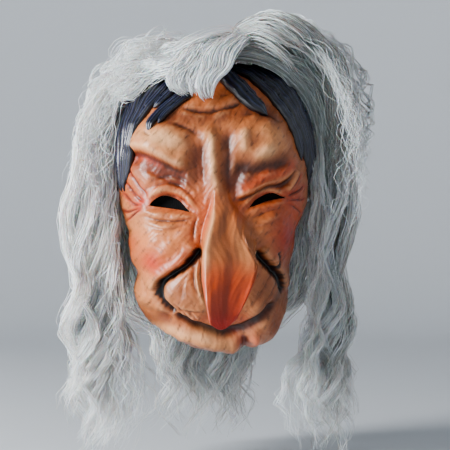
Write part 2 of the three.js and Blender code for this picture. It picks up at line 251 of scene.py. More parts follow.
def spline(points, steps):
    """Points on a smooth curve through the given ones."""
    padded = np.vstack([2 * points[0] - points[1], points, 2 * points[-1] - points[-2]])
    out = []
    for k in range(len(points) - 1):
        p0, p1, p2, p3 = padded[k : k + 4]
        t = np.linspace(0, 1, steps, endpoint=False)[:, None]
        out.append(
            0.5 * (2 * p1 + (p2 - p0) * t + (2 * p0 - 5 * p1 + 4 * p2 - p3) * t**2
                   + (3 * p1 - p0 - 3 * p2 + p3) * t**3)
        )
    out.append(points[-1:])
    return np.vstack(out)


def on_the_front(y):
    """1 on the front of the face, falling to 0 at its sides, where the relief fades out."""
    return smooth(-y, -8, 34)


def moved(points, dx, dz):
    return [(x + dx, z + dz) for x, z in points]


class Relief:
    """Heights and paint laid on the face as seen from the front, in millimetres across and up."""

    def __init__(self, x, z):
        self.x, self.z = x, z

    def spot(self, cx, cz, rx, rz, tilt=0, power=2):
        t = math.radians(tilt)
        a = ((self.x - cx) * math.cos(t) + (self.z - cz) * math.sin(t)) / rx
        b = (-(self.x - cx) * math.sin(t) + (self.z - cz) * math.cos(t)) / rz
        return np.exp(-((a * a + b * b) ** (power / 2)))

    def line(self, points, wide, ends=0.25, up=0.0, down=0.0):
        """1 on a smooth line through the points, which run towards +x, falling off over wide and
        towards its ends. With up or down, the fall is that many times wider above or below the line."""
        curve = spline(np.array(points, float), 8)
        reach_most = wide * (1 + max(up, down)) * 2.6
        low, high = curve.min(0) - reach_most, curve.max(0) + reach_most
        close = (self.x > low[0]) & (self.x < high[0]) & (self.z > low[1]) & (self.z < high[1])
        out = np.zeros_like(self.x)
        x, z = self.x[close], self.z[close]
        near, along, left = np.full(x.shape, 1e9), np.zeros_like(x), np.zeros_like(x)
        total = len(curve) - 1
        for k in range(total):
            (ax, az), (bx, bz) = curve[k], curve[k + 1]
            ux, uz = bx - ax, bz - az
            t = ((x - ax) * ux + (z - az) * uz) / (ux * ux + uz * uz)
            inside = np.clip(t, 0, 1)
            dx, dz = x - ax - inside * ux, z - az - inside * uz
            far = dx * dx + dz * dz
            closer = far < near
            near = np.where(closer, far, near)
            along = np.where(closer, (k + inside) / total, along)
            left = np.where(closer, ux * dz - uz * dx > 0, left)
        reach = wide * (1 + np.where(left, up, down))
        taper = smooth(along, -0.02, ends) * smooth(1 - along, -0.02, ends)
        out[close] = np.exp(-near / reach**2) * taper
        return out


# The nose stands on a patch of the face, rises and droops over the mouth. It is up to 5 mm fuller on each
# side near its tip than the CAD's.
NOSE_ROOT, NOSE_BASE, NOSE_HEIGHT, NOSE_DROOP = 12, -58, 45, 66
NOSE_EDGE_Z = [-117, -106, -88, -71, -57, -44, -29, -13, 20]
NOSE_RIGHT_EDGE = [-11, -15, -17, -18, -18, -17.5, -14.5, -8, -5]
NOSE_LEFT_EDGE = [9, 14, 23, 30, 35, 29, 18, 9, 5]

FOREHEAD_CREASE = [(-37, 88), (-23, 85.5), (-9, 85), (7, 88.5), (22, 94)]
COLUMN_CREASE = [(7.5, 72), (7.5, 48), (7, 26), (9, 6)]
RIGHT_BAG = [(-70, -12), (-58, -16), (-46, -17.5), (-34, -17), (-23, -14)]
RIGHT_LOWER_BAG = [(-66, -19), (-56, -24), (-46, -25), (-36, -22), (-28, -18)]
LEFT_FOLD = [(31, -44), (38, -53), (48, -63), (56, -72), (60, -86)]
RIGHT_FOLD = [(-43, -102), (-49, -93), (-53, -84), (-52, -74), (-43, -66), (-32, -59), (-24, -50), (-18, -42)]
MOUTH = [(-45, -102), (-36, -110), (-28, -115), (-15, -120), (-4, -122), (11, -119), (23, -113), (38, -102),
         (51, -90)]
RIGHT_LID = [(-68, 0), (-61, 8), (-50, 11.5), (-38, 8), (-28, -1), (-20, -11)]
LEFT_LID = [(20, -6), (28, 3), (37, 10), (47, 13), (56, 11), (63, 7)]
RIGHT_BROW = [(-82, 49), (-74, 48.5), (-65, 46), (-51, 39), (-40, 33.5), (-30, 32)]
LEFT_BROW = [(14, 6), (20, 7), (27, 9.5), (37, 15), (46, 19), (55, 20), (64, 25), (72, 36)]
RIGHT_EYE = [(-65.5, -3.1), (-61.8, 1.6), (-54.6, 5.8), (-47.3, 5.9), (-38.2, 2), (-31.5, -5), (-28.5, -9),
             (-38.2, -7), (-50.9, -5.2), (-60, -4)]
LEFT_EYE = [(26.4, -5.2), (32.7, 2.4), (43.7, 8.2), (51, 8.6), (57, 6), (61.5, 4.4), (53, 3), (43.7, 1),
            (34.6, -2.4)]
RIGHT_CROWS_FEET = [
    [(-83, 36), (-78, 24), (-72, 13), (-66, 5)],
    [(-86, 25), (-81, 14), (-74, 4), (-69, 0)],
    [(-88, 12), (-82, 4), (-76, -2), (-70, -3)],
    [(-86, -6), (-80, -9), (-74, -7), (-69, -4)],
    [(-80, -18), (-76, -14), (-72, -9), (-69, -5)]]
LEFT_CROWS_FEET = [
    [(64, 8), (70, 15), (75, 22), (78, 30)],
    [(65, 6), (72, 9), (79, 13), (84, 20)],
    [(65, 3), (73, 3), (80, 3), (85, 6)],
    [(64, 0), (71, -4), (77, -8), (80, -12)]]


def brow_and_eye_relief(r):
    # the swellings over the eyes, each with a flat lit front
    h = 8 * r.spot(-52, 55, 25, 17, tilt=-14, power=2.5)
    h = h + 9 * r.spot(38, 54, 25, 20, tilt=14, power=2.4)
    h = h + 2.4 * r.line([(20, 42), (20, 54), (22, 68)], 4.5, ends=0.3)
    h = h + 3.2 * r.spot(41, 44, 9, 6, tilt=25)
    h = h - 3.4 * r.spot(31, 53, 6, 9, tilt=-20)
    # sockets
    h = h - 9 * r.spot(-46, 4, 26, 15, tilt=-8)
    h = h - 9 * r.spot(44, 5, 25, 14, tilt=14)
    h = h - 5 * r.spot(-21, 36, 8, 24, tilt=6)
    h = h - 6 * r.spot(15, 22, 7, 22, tilt=-14)
    # the raised column between the brows, with a crease on each side
    h = h + 5.5 * r.line([(-9, 72), (-8.5, 50), (-7, 26), (-3, 0)], 6.5, ends=0.25, down=0.6)
    h = h - 3.6 * r.line(COLUMN_CREASE, 3.8, ends=0.3, down=1.4)
    h = h - 2.2 * r.line([(-17, 64), (-16.5, 44), (-15, 24), (-13, 8)], 3.4, ends=0.3, up=1.6)
    # the ledges that overhang the eyes
    h = h + 4.4 * r.line(RIGHT_BROW, 2.3, ends=0.14, up=3.4)
    h = h - 3.4 * r.line(moved(RIGHT_BROW, 0, -6), 3.2, ends=0.25, down=2.4)
    h = h + 4.2 * r.line(LEFT_BROW, 2.4, ends=0.16, up=3.0)
    h = h - 3.2 * r.line(moved(LEFT_BROW, 0.5, -3.6), 1.9, ends=0.2, down=1.2)
    h = h - 2.6 * r.line([(15, 36), (31, 30), (52, 34), (71, 43)], 4.4, ends=0.25, up=0.8)
    h = h - 1.8 * r.line([(-70, 33), (-58, 25), (-44, 19), (-28, 16)], 2.6, ends=0.3, up=1.2)
    # lids, doubled on the right
    for lid in (RIGHT_LID, LEFT_LID):
        h = h + 3.6 * r.line(lid, 3.0, ends=0.25, up=0.9)
        h = h - 1.5 * r.line(moved(lid, 0.5, 6.6), 1.7, ends=0.35, up=0.8)
    h = h + 0.6 * r.line(moved(RIGHT_LID, 2, 10), 3, ends=0.35)
    h = h - 1.2 * r.line(moved(RIGHT_LID, 3, 14), 1.8, ends=0.4)
    h = h + 2.0 * r.line([(-69, -8), (-58, -10.5), (-46, -11), (-34, -12.5), (-24, -14)], 2.6, ends=0.2)
    h = h + 1.9 * r.line([(23, -11), (35, -6), (47, -2), (58, 0), (66, 1)], 2.6, ends=0.2)
    return h


def wrinkle_relief(r):
    h = 0
    for bag, deep in (
        (RIGHT_BAG, 2.6),
        (RIGHT_LOWER_BAG, 1.6),
        ([(-60, -27), (-50, -31), (-42, -30), (-34, -26)], 1.1),
        ([(24, -17), (36, -12), (50, -7), (64, -3)], 1.9),
        ([(27, -24), (40, -21), (54, -15), (66, -9)], 1.2),
        ([(29, -30), (40, -29), (50, -24)], 0.8)):
        h = h - 0.7 * deep * r.line(bag, 1.3, ends=0.4, down=1.4)
        h = h + 0.3 * deep * r.line(moved(bag, 0, 3.4), 2.4, ends=0.35)
    for foot in RIGHT_CROWS_FEET + LEFT_CROWS_FEET:
        h = h - 1.5 * r.line(foot, 1.0, ends=0.3)
    # the knuckle of skin outside the wearer's left eye
    h = h + 3.4 * r.line([(63, 11), (68, 15), (71, 24), (73, 34)], 3.2, ends=0.25)
    # forehead
    h = h - 2.2 * r.line(FOREHEAD_CREASE, 1.5, ends=0.15, down=0.8)
    h = h - 1.6 * r.line([(-50, 71), (-40, 71.5), (-30, 68), (-17, 61)], 1.3, ends=0.35, down=1.4)
    h = h - 1.0 * r.line([(18, 79), (32, 82), (48, 79), (60, 70)], 1.8, ends=0.3)
    h = h - 0.8 * r.line([(-30, 101), (-14, 99), (6, 101), (20, 106)], 1.6, ends=0.3)
    h = h - 1.3 * r.line([(-66, 62), (-62, 58), (-58, 55)], 1.5, ends=0.3)
    # beside the nose and down the cheeks
    h = h - 1.8 * r.line([(-24, -40), (-25, -30), (-24, -20), (-21, -12)], 1.7, ends=0.3)
    h = h - 1.5 * r.line([(-66, -82), (-70, -66), (-73, -50), (-76, -34)], 1.8, ends=0.3)
    h = h - 1.4 * r.line([(-58, -98), (-62, -86), (-64, -74), (-69, -60)], 1.6, ends=0.3)
    h = h - 1.3 * r.line([(62, -80), (66, -62), (68, -44), (68, -26)], 1.8, ends=0.3)
    h = h - 1.5 * r.line([(30, -100), (40, -88), (49, -77), (54, -70)], 1.4, ends=0.3)
    h = h - 1.1 * r.line([(24, -96), (33, -84), (42, -72), (46, -66)], 1.4, ends=0.3)
    # the irregular upright folds between the nose and the deep fold, and the upper lip's wrinkles
    for fold, deep, wide in (
        ([(-16.5, -50), (-18.5, -64), (-16, -78), (-13, -92)], 1.8, 1.1),
        ([(-22, -56), (-24, -66), (-22, -77), (-17, -84)], 1.5, 1.5),
        ([(-29, -66), (-33, -76), (-31, -88)], 0.9, 1.8),
        ([(-43, -90), (-36, -96), (-25, -98), (-13, -96)], 1.7, 1.2),
        ([(-40, -95), (-35, -100), (-33, -106)], 1.6, 1.1),
        ([(-31, -99), (-27, -103), (-26, -109)], 1.3, 1.0)):
        h = h - deep * r.line(fold, wide, ends=0.3, down=0.7)
        h = h + 0.6 * deep * r.line(moved(fold, 2.2, 1.2), 1.6, ends=0.3)
    h = h + 2.6 * r.line([(-19.5, -50), (-21, -64), (-18.5, -76), (-15, -90)], 1.7, ends=0.3)
    h = h + 1.8 * r.spot(-36, -103, 3, 3) + 1.4 * r.spot(-29, -106, 3, 2.5)
    return h


def mouth_relief(r):
    """The big folds, the mouth and the roll of the jaw; also where paint gathers in them."""
    right_fold = r.line(RIGHT_FOLD, 3.0, ends=0.05)
    left_fold = r.line(LEFT_FOLD, 3.2, ends=0.08)
    hook = r.line([(44, -58), (48, -60), (52.5, -56), (53, -50), (50, -45)], 1.7, ends=0.12)
    h = smooth(-r.x, 36, 74) * (5 + 3.5 * smooth(-r.z, -10, 25)) * smooth(r.z, -116, -94)
    h = h + 6 * r.spot(-80, -86, 16, 14, power=2.8) - 3 * r.spot(-84, -64, 16, 7)
    h = h + 9 * r.spot(-48, -40, 26, 21, tilt=24, power=2.4)
    h = h + 8 * r.spot(49, -34, 21, 24, tilt=-20, power=2.4)
    h = h + 9 * r.spot(-24, -86, 27, 22)
    h = h + 8 * r.spot(33, -88, 22, 22)
    h = h - 7.5 * right_fold - 7.0 * left_fold - 2.6 * hook
    h = h + 4.6 * r.line(moved(RIGHT_FOLD[2:], -3.4, 4), 2.0, ends=0.12, up=2.2)
    h = h + 4.0 * r.line(moved(LEFT_FOLD, 3.6, 3.4), 2.0, ends=0.12, up=2.0)
    h = h + 2.6 * r.spot(46.5, -52, 3.6, 3.6)
    mouth = r.line(MOUTH, 2.8, ends=0.08, up=0.7)
    h = h - 8.0 * mouth
    # the roll: a thick rounded lip from the jaw's lobe on the right to the chin's end on the left
    roll = [(-84, -70), (-82, -82), (-75, -93), (-66, -103), (-55, -113), (-40, -121), (-24, -126.5),
            (-6, -130), (14, -132)]
    h = h + 11 * r.line(roll, 5.6, ends=0.08, down=0.8)
    h = h - 2.0 * r.line([(-70, -108), (-52, -120), (-34, -128), (-14, -134)], 1.8, ends=0.3)
    h = h - 3.4 * r.line([(-74, -76), (-69, -90), (-58, -101), (-46, -108)], 3.4, ends=0.25)
    h = h - 4.0 * r.spot(13, -129.5, 4.0, 5.0, tilt=-20)
    h = h + 6.5 * r.spot(22, -127.5, 6, 8)
    h = h + 3.0 * r.spot(34, -120, 9, 13)
    return h, dict(folds=np.maximum(np.maximum(right_fold, left_fold), 0.8 * hook), mouth=mouth)


def sculpt(x, z):
    """How far the skin stands out of the head form, and masks for the paint in its folds."""
    r = Relief(x, z)
    h, masks = mouth_relief(r)
    h = h + brow_and_eye_relief(r) + wrinkle_relief(r)
    h = h + 0.5 * np.sin(x * 0.21 + 1.3) * np.sin(z * 0.17) + 0.35 * np.sin(x * 0.37 - z * 0.29)
    h = h + 0.22 * np.sin(x * 0.83 + 2 * np.sin(z * 0.31)) * np.sin(z * 0.61 + 2 * np.sin(x * 0.27))
    return h, masks


def nose(x, z):
    """How much of the nose's height a place gets, and how far across the nose it lies, -1 to 1."""
    along = np.clip((NOSE_ROOT - z) / (NOSE_ROOT - NOSE_BASE), 0, 1.2)
    low = smooth(along, 0, 0.7)
    across = (x - 7 * low) / (8 + 18 * low)
    rise = np.minimum(1, along / 0.76) ** 1.15 * (1 - smooth(along, 0.86, 1.08))
    flanks = smooth(across, -1, -0.7) * (1 - smooth(across, 0.66, 1))
    fall = 1 - 0.26 * np.clip((across + 0.6) / 1.2, 0, 1)
    middle = 0.045 * bell(across, 0.02, 0.16) * smooth(along, 0.3, 0.6)
    rounding = 1 - 0.09 * ((across + 0.1) / 0.8) ** 2
    return rise * flanks * (fall - middle), across, (rise * flanks * rounding) ** 1.6


def add_nose(p, inset=0.0):
    x, z = p[..., 0].copy(), p[..., 2].copy()
    ahead = p[..., 1] < 0
    share, across, droop = nose(x, z)
    share, droop = np.where(ahead, share, 0), np.where(ahead, droop, 0)
    p[..., 0] += CHIN_SWING * smooth(-z, CHIN_SWING_FROM, CHIN_SWING_TO) * (1 - share)
    p[..., 1] -= (NOSE_HEIGHT - inset) * share
    p[..., 2] -= (NOSE_DROOP - inset) * droop
    right = np.interp(p[..., 2], NOSE_EDGE_Z, NOSE_RIGHT_EDGE)
    left = np.interp(p[..., 2], NOSE_EDGE_Z, NOSE_LEFT_EDGE)
    target = right + (left - right) * np.clip((across * (1 - inset * 0.05) + 0.8) / 1.6, -0.1, 1.1)
    p[..., 0] += (target - p[..., 0]) * smooth(share, 0.1, 0.6)
    return share, across


def face_directions(cells):
    s, t = np.meshgrid(np.linspace(-1, 1, cells + 1), np.linspace(-1, 1, cells + 1), indexing="ij")
    u, v = s * np.sqrt(1 - t * t / 2), t * np.sqrt(1 - s * s / 2)
    share = np.minimum(1, np.hypot(u, v))
    turn = np.degrees(np.arctan2(v, u))
    up = np.sin(np.radians(turn))
    rim = RIM_SIDE + RIM_TOP * np.maximum(0, up) ** 2 - RIM_CHIN * np.maximum(0, -up) ** 1.5
    return from_front(rim * (0.62 * share + 0.38 * share**3), turn)


def lowest_near(height, step):
    """The lowest height within one coarse cell of each coarse point."""
    padded = np.pad(height, step, mode="edge")
    rows = height.shape[0]
    low = np.full((len(range(0, rows, step)),) * 2, np.inf)
    for i in range(0, 2 * step + 1):
        for j in range(0, 2 * step + 1):
            low = np.minimum(low, padded[i : i + rows : step, j : j + rows : step][: len(low), : len(low)])
    return low


def outwards(p):
    out = np.stack([p[..., 0] / HALF_WIDTH, p[..., 1] / FRONT, (p[..., 2] - CENTRE_Z) / ABOVE], axis=-1)
    return out / np.linalg.norm(out, axis=-1, keepdims=True)


def grid_faces(rows, columns, first=0, flip=False):
    i, j = np.meshgrid(np.arange(rows - 1), np.arange(columns - 1), indexing="ij")
    a = (first + i * columns + j).ravel()
    order = [a, a + 1, a + columns + 1, a + columns] if flip else [a, a + columns, a + columns + 1, a + 1]
    quads = np.stack(order, axis=1)
    return np.vstack([quads[:, [0, 1, 2]], quads[:, [0, 2, 3]]])


def border(n, step):
    """The grid numbers of the points round the edge of an n by n square, in order."""
    k = np.arange(0, n - 1, step)
    last = n - 1
    return np.concatenate([k * n, last * n + k, (last - k) * n + last, last - k])


TAN, PEACH, PALE = srgb(180, 101, 52), srgb(206, 131, 76), srgb(234, 176, 124)
ORANGE, RED, DEEP_RED = srgb(184, 62, 0), srgb(150, 8, 0), srgb(76, 2, 0)
BROWN, DARK_BROWN, BLACK = srgb(98, 38, 10), srgb(36, 12, 4), srgb(6, 5, 6)


class Paint:
    def __init__(self, colour, shape):
        self.colour = np.broadcast_to(colour, (*shape, 3)).copy()

    def lay(self, paint, amount):
        a = np.clip(amount, 0, 1)[..., None]
        self.colour = self.colour * (1 - a) + paint * a


def paint_upper_face(c, r):
    c.lay(BROWN, 0.75 * r.line([(-58, 76), (-30, 79), (0, 80), (30, 84), (58, 76)], 9, ends=0.08))
    c.lay(ORANGE, 0.35 * r.spot(0, 104, 46, 14))
    c.lay(DARK_BROWN, 0.7 * r.line(FOREHEAD_CREASE, 1.4, ends=0.1))
    # browns down the furrows beside the column and in the crease over the right brow: partly airbrushing,
    # partly painted shade in the furrows
    c.lay(BROWN, 0.75 * r.spot(-21, 40, 9, 26, tilt=6, power=3))
    c.lay(BROWN, 0.7 * r.line(COLUMN_CREASE, 5, ends=0.15, down=0.6))
    c.lay(DARK_BROWN, 0.6 * r.line([(7.5, 66), (7.5, 48), (7, 26), (9, 10)], 2, ends=0.2))
    c.lay(BROWN, 0.6 * r.line([(-64, 66), (-48, 71), (-33, 69), (-16, 60)], 2.6, ends=0.2))
    # painted highlights: pale and peach on the lit fronts of the brow swellings, the column's edge and the
    # right brow's ledge
    c.lay(PALE, 0.8 * r.spot(-50, 55, 16, 8, tilt=-14, power=3))
    c.lay(PALE, 0.8 * r.line([(-9, 64), (-8.5, 48), (-7, 26), (-4, 8)], 2.8, ends=0.2))
    c.lay(PALE, 0.6 * r.line([(20, 44), (20, 54), (22, 68)], 3, ends=0.3))
    c.lay(PALE, 0.85 * r.spot(41, 44, 8, 5, tilt=25))
    c.lay(PALE, 0.5 * r.line(moved(RIGHT_BROW, 0, 1), 1.8, ends=0.15))
    c.lay(PEACH, 0.7 * r.spot(48, 58, 12, 10))
    # painted shade in the hollow beside the left brow's lit front
    c.lay(BROWN, 0.55 * r.spot(31, 54, 7, 10, tilt=-20))
    c.lay(ORANGE, 0.95 * r.line(moved(RIGHT_BROW, 0, -8), 4.5, ends=0.1, down=1.8))
    # browns beneath the right brow's ledge and by the nose root: partly airbrushing, partly painted shade
    # under the overhang
    c.lay(BROWN, 0.5 * r.line(moved(RIGHT_BROW, 2, -13), 5, ends=0.2))
    c.lay(DARK_BROWN, 0.7 * r.line(moved(RIGHT_BROW, 3, -10)[2:], 5, ends=0.3, down=0.6))
    c.lay(DARK_BROWN, 0.45 * r.spot(-27, 24, 9, 7))
    # painted shade under both brow ledges
    c.lay(BROWN, 0.7 * r.spot(-50, 27, 30, 11, tilt=-12, power=3))
    c.lay(BROWN, 0.6 * r.spot(42, 26, 26, 10, tilt=20, power=3))
    c.lay(srgb(180, 40, 0), 0.6 * r.line(moved(RIGHT_BROW, 0, -6)[:4], 3, ends=0.2))
    c.lay(ORANGE, 0.9 * r.line(moved(LEFT_BROW, 0, 5), 4, ends=0.1, up=0.8))
    # browns in the socket beside the nose root: partly airbrushing, partly painted shade in the recess
    c.lay(BROWN, 0.85 * r.spot(20, 25, 13, 13, power=3))
    c.lay(DARK_BROWN, 0.3 * r.spot(16, 28, 8, 12))
    left_ledge = [(13, 35), (24, 31), (36, 31), (52, 35), (72, 45)]
    c.lay(DARK_BROWN, 0.7 * r.line(left_ledge, 5.0, ends=0.25, up=0.3))
    c.lay(DARK_BROWN, 0.45 * r.spot(22, 33, 9, 9))
    # dark browns in the creases under the left brow's ledge and above the right lid: partly airbrushing,
    # partly painted shade
    c.lay(DARK_BROWN, 0.75 * r.line(moved(LEFT_BROW, 0.5, -3.2), 1.6, ends=0.2))
    c.lay(BROWN, 0.5 * r.line(moved(RIGHT_LID, 0.5, 6), 1.6, ends=0.25))
    c.lay(BROWN, 0.4 * r.line(moved(RIGHT_LID, 3, 14), 1.8, ends=0.3))


def paint_eyes_and_cheeks(c, r):
    c.lay(ORANGE, 0.55 * r.spot(-46, 2, 30, 14, tilt=-8, power=3))
    c.lay(ORANGE, 0.6 * r.spot(44, 4, 30, 14, tilt=12, power=3))
    c.lay(ORANGE, 0.75 * r.spot(-12, -16, 11, 28))
    c.lay(ORANGE, 0.6 * r.spot(14, -10, 9, 24))
    for lid in (RIGHT_LID, LEFT_LID):
        c.lay(PEACH, 0.6 * r.line(lid, 2.0, ends=0.2))
        c.lay(RED, 0.35 * r.line(moved(lid, 0, -2.6), 1.4, ends=0.1))
    for foot in RIGHT_CROWS_FEET:
        c.lay(srgb(176, 44, 0), 0.8 * r.line(foot, 2.4, ends=0.2))
        c.lay(DARK_BROWN, 0.45 * r.line(foot, 1.0, ends=0.25))
    for foot in LEFT_CROWS_FEET:
        c.lay(RED, 0.6 * r.line(foot, 3.2, ends=0.2))
        c.lay(DARK_BROWN, 0.25 * r.line(foot, 1.1, ends=0.2))
    c.lay(srgb(184, 30, 0), 0.8 * r.spot(-70, 0, 5, 6))
    c.lay(RED, 0.5 * r.spot(70, 3, 9, 9))
    c.lay(PEACH, 0.75 * r.line([(63, 11), (68, 15), (71, 24)], 2.2, ends=0.3))
    c.lay(ORANGE, 0.4 * r.spot(-30, -30, 14, 16))
    # browns in the creases of the bags under the right eye: partly airbrushing, partly painted shade
    c.lay(BROWN, 0.5 * r.line(RIGHT_LOWER_BAG, 1.4, ends=0.3))
    c.lay(BROWN, 0.55 * r.line(RIGHT_BAG, 1.3, ends=0.3))
    c.lay(PEACH, 0.5 * r.spot(-48, -34, 18, 10))
    c.lay(srgb(206, 100, 34), 0.45 * r.spot(-54, -42, 26, 18, power=3))
    c.lay(ORANGE, 0.8 * r.line([(-60, -60), (-46, -58), (-33, -52), (-22, -44)], 7, ends=0.15))
    c.lay(BROWN, 0.4 * r.spot(-27, -46, 9, 7, tilt=30))
    c.lay(ORANGE, 0.7 * r.spot(-57, -52, 12, 11))
    c.lay(srgb(186, 44, 0), 0.85 * r.spot(-57, -53, 6, 7.5))
    c.lay(ORANGE, 0.6 * r.spot(-72, -37, 6, 9))
    # brown on the wearer's left cheek: partly airbrushing, partly painted shade on the side away from the
    # window light
    c.lay(BROWN, 0.4 * r.spot(46, -34, 20, 22))
    c.lay(ORANGE, 0.9 * r.spot(60, -28, 17, 26, tilt=-14))
    c.lay(RED, 0.85 * r.spot(61, -32, 12, 17, tilt=-14))
    c.lay(ORANGE, 0.6 * r.spot(72, -10, 10, 18))
    # painted shade down the lower cheek on the wearer's left; beside the right jaw's lobe a brown that is
    # partly airbrushing, partly painted shade
    c.lay(BROWN, 0.45 * r.spot(64, -76, 14, 40))
    c.lay(BROWN, 0.4 * r.spot(-74, -70, 9, 30))


def paint_mouth_and_nose(c, r, m):
    share, across = m["share"], m["across"]
    c.lay(BROWN, 0.55 * r.spot(-32, -84, 17, 14))
    # brown on the muzzle on the wearer's left: partly airbrushing, partly painted shade away from the window
    # light
    c.lay(BROWN, 0.7 * r.spot(40, -88, 17, 20))
    # painted highlights on the ridge beside the deep fold and on the lumps by the mouth's corner
    c.lay(PALE, 0.7 * r.line([(-19, -52), (-20, -64), (-17.5, -78), (-16, -90)], 1.8, ends=0.3))
    c.lay(PALE, 0.6 * r.line([(-36, -101), (-28, -104), (-20, -106)], 2.2, ends=0.3))
    c.lay(ORANGE, 0.6 * r.spot(-18, -106, 20, 6))
    c.lay(ORANGE, 0.7 * r.spot(14, -108, 10, 8))
    c.lay(DARK_BROWN, 0.8 * smooth(m["mouth"], 0.12, 0.7))
    c.lay(BLACK, 0.35 * smooth(m["mouth"], 0.5, 0.95))
    c.lay(DARK_BROWN, 0.55 * r.line([(36, -103), (46, -95), (54, -84), (59, -76)], 3.4, ends=0.2))
    # painted highlight along the lit top of the roll
    c.lay(PEACH, 0.75 * r.line([(-76, -88), (-66, -103), (-52, -114), (-30, -123), (-6, -129)], 4, ends=0.15))
    c.lay(PALE, 0.5 * r.line([(-60, -107), (-44, -116), (-26, -122), (-8, -126)], 2.2, ends=0.25))
    # painted shade under the roll and the chin
    c.lay(BROWN, 0.8 * r.line([(-80, -96), (-68, -112), (-48, -125), (-30, -133), (-4, -140)], 3.6, ends=0.1))
    c.lay(BROWN, 0.5 * r.spot(6, -136, 20, 6))
    c.lay(BROWN, 0.55 * r.spot(44, -112, 8, 18))
    # brown in the crease under the jaw's lobe: partly airbrushing, partly painted shade
    lobe_crease = [(-78, -74), (-76, -84), (-68, -96), (-57, -105), (-47, -110)]
    c.lay(BROWN, 0.75 * r.line(lobe_crease, 3.2, ends=0.15))
    speckle = r.spot(-12, -137, 16, 4) * (0.4 + 0.6 * np.sin(r.x * 2.1) * np.sin(r.z * 2.7 + r.x))
    c.lay(ORANGE, 1.2 * speckle)
    c.lay(DEEP_RED, 0.9 * r.spot(13, -129.5, 4.5, 6, tilt=-20))
    c.lay(RED, 0.5 * r.spot(8, -127, 6, 5))
    c.lay(srgb(222, 112, 72), 0.95 * r.spot(22, -127, 5, 7.5))
    ragged = 0.26 * np.sin(r.x * 0.5 + 1) * np.sin(r.z * 0.4) + 0.16 * np.sin(r.x * 1.3 - r.z * 0.9)
    ragged = ragged + 0.1 * np.sin(r.x * 2.6 + r.z * 1.9)
    thin = 0.55 * smooth(-r.z, 86, 100) + 0.3 * bell(r.z, -60, 5)
    c.lay(DARK_BROWN, 0.8 * smooth(m["folds"] + ragged, 0.1, 0.6))
    c.lay(BLACK, (1.05 - thin) * smooth(m["folds"] + ragged, 0.35, 0.85))
    c.lay(BLACK, 0.95 * r.line([(-31, -58), (-24, -51), (-19, -44)], 3.4, ends=0.25, down=0.2))
    c.lay(BLACK, 0.7 * r.spot(-52, -78, 3.4, 9) + 0.75 * r.spot(52, -67, 5, 8, tilt=40))
    # the nose: tan above, red-orange below, darkest at its tip; the brown and dark red down its middle crease
    # are painted shade, and the pale line on its flank towards the window light is a painted highlight
    on_nose = smooth(share, 0.06, 0.3)
    low = smooth(-m["placed_z"], 46, 74)
    c.lay(TAN, 0.95 * on_nose * (1 - low))
    # painted shade down the nose's middle crease
    c.lay(BROWN, 0.55 * on_nose * bell(across, 0.0, 0.3) * (1 - low))
    c.lay(ORANGE, on_nose * low)
    c.lay(RED, 0.7 * on_nose * smooth(-m["placed_z"], 66, 112) * (0.75 + 0.25 * bell(across, -0.3, 0.5)))
    # painted shade deeper down the middle crease
    c.lay(DEEP_RED, 0.4 * on_nose * bell(across, 0.0, 0.22) * smooth(-m["placed_z"], 56, 80))
    c.lay(srgb(184, 14, 0), 0.8 * on_nose * smooth(-m["placed_z"], 96, 114))
    # painted highlight on the nose's flank towards the window light
    c.lay(PALE, 0.55 * on_nose * bell(across, -0.72, 0.11) * (1 - 0.85 * low))
    c.lay(PEACH, 0.5 * on_nose * bell(across, 0.5, 0.2) * (1 - low) * smooth(-m["placed_z"], 20, 44))


def blurred(field, reach):
    """The mean of a field over a square of cells that reaches this far each way."""
    for axis in (0, 1):
        padded = np.pad(field, [(reach + 1, reach) if k == axis else (0, 0) for k in (0, 1)], mode="edge")
        total = np.cumsum(padded, axis=axis)
        rows = np.arange(field.shape[axis])
        field = np.take(total, rows + 2 * reach + 1, axis) - np.take(total, rows, axis)
        field = field / (2 * reach + 1)
    return field


def paint_face(m):
    r = Relief(m["x"], m["z"])
    c = Paint(TAN, r.x.shape)
    # paler on raised places and broad bulges, browner in broad hollows: partly airbrushing, partly painted
    # highlight and painted shade
    c.lay(PEACH, 0.55 * smooth(m["height"], 2, 9))
    broad = blurred(blurred(m["height"], 9), 9) - m["height"]
    c.lay(BROWN, 0.65 * smooth(broad, 0.2, 3.2))
    # painted shade: browner towards the wearer's left, the side away from the window light
    c.lay(BROWN, 0.35 * smooth(r.x, 10, 75))
    c.lay(PEACH, 0.5 * smooth(-broad, 0.3, 2.6))
    paint_upper_face(c, r)
    paint_eyes_and_cheeks(c, r)
    # a dark wash in the creases and paler paint on the ridges: partly the mask's own paint, partly painted
    # shade in the creases and painted highlight on the ridges
    fine = blurred(blurred(m["height"], 2), 2) - m["height"]
    c.lay(DARK_BROWN, 0.75 * smooth(fine, 0.14, 1.0))
    c.lay(PALE, 0.18 * smooth(-fine, 0.12, 0.7))
    paint_mouth_and_nose(c, r, m)
    return c.colour


FACE_CELLS, FACE_STEP = 300, 5


def face_surfaces():
    """The outer skin, the inner skin on a coarser grid, and what the paint needs to know."""
    outer = on_head(face_directions(FACE_CELLS))
    x, z = outer[..., 0].copy(), outer[..., 2].copy()
    height, marks = sculpt(x, z)
    height = height * on_the_front(outer[..., 1])
    outer = outer + outwards(outer) * height[..., None]
    share, across = add_nose(outer)
    marks.update(x=x, z=z, height=height, share=share, across=across, placed_z=outer[..., 2])
    inner = on_head(face_directions(FACE_CELLS // FACE_STEP), -LATEX)
    inner = inner + outwards(inner) * lowest_near(height, FACE_STEP)[..., None]
    add_nose(inner, 2.0 * LATEX)
    return outer, inner, marks


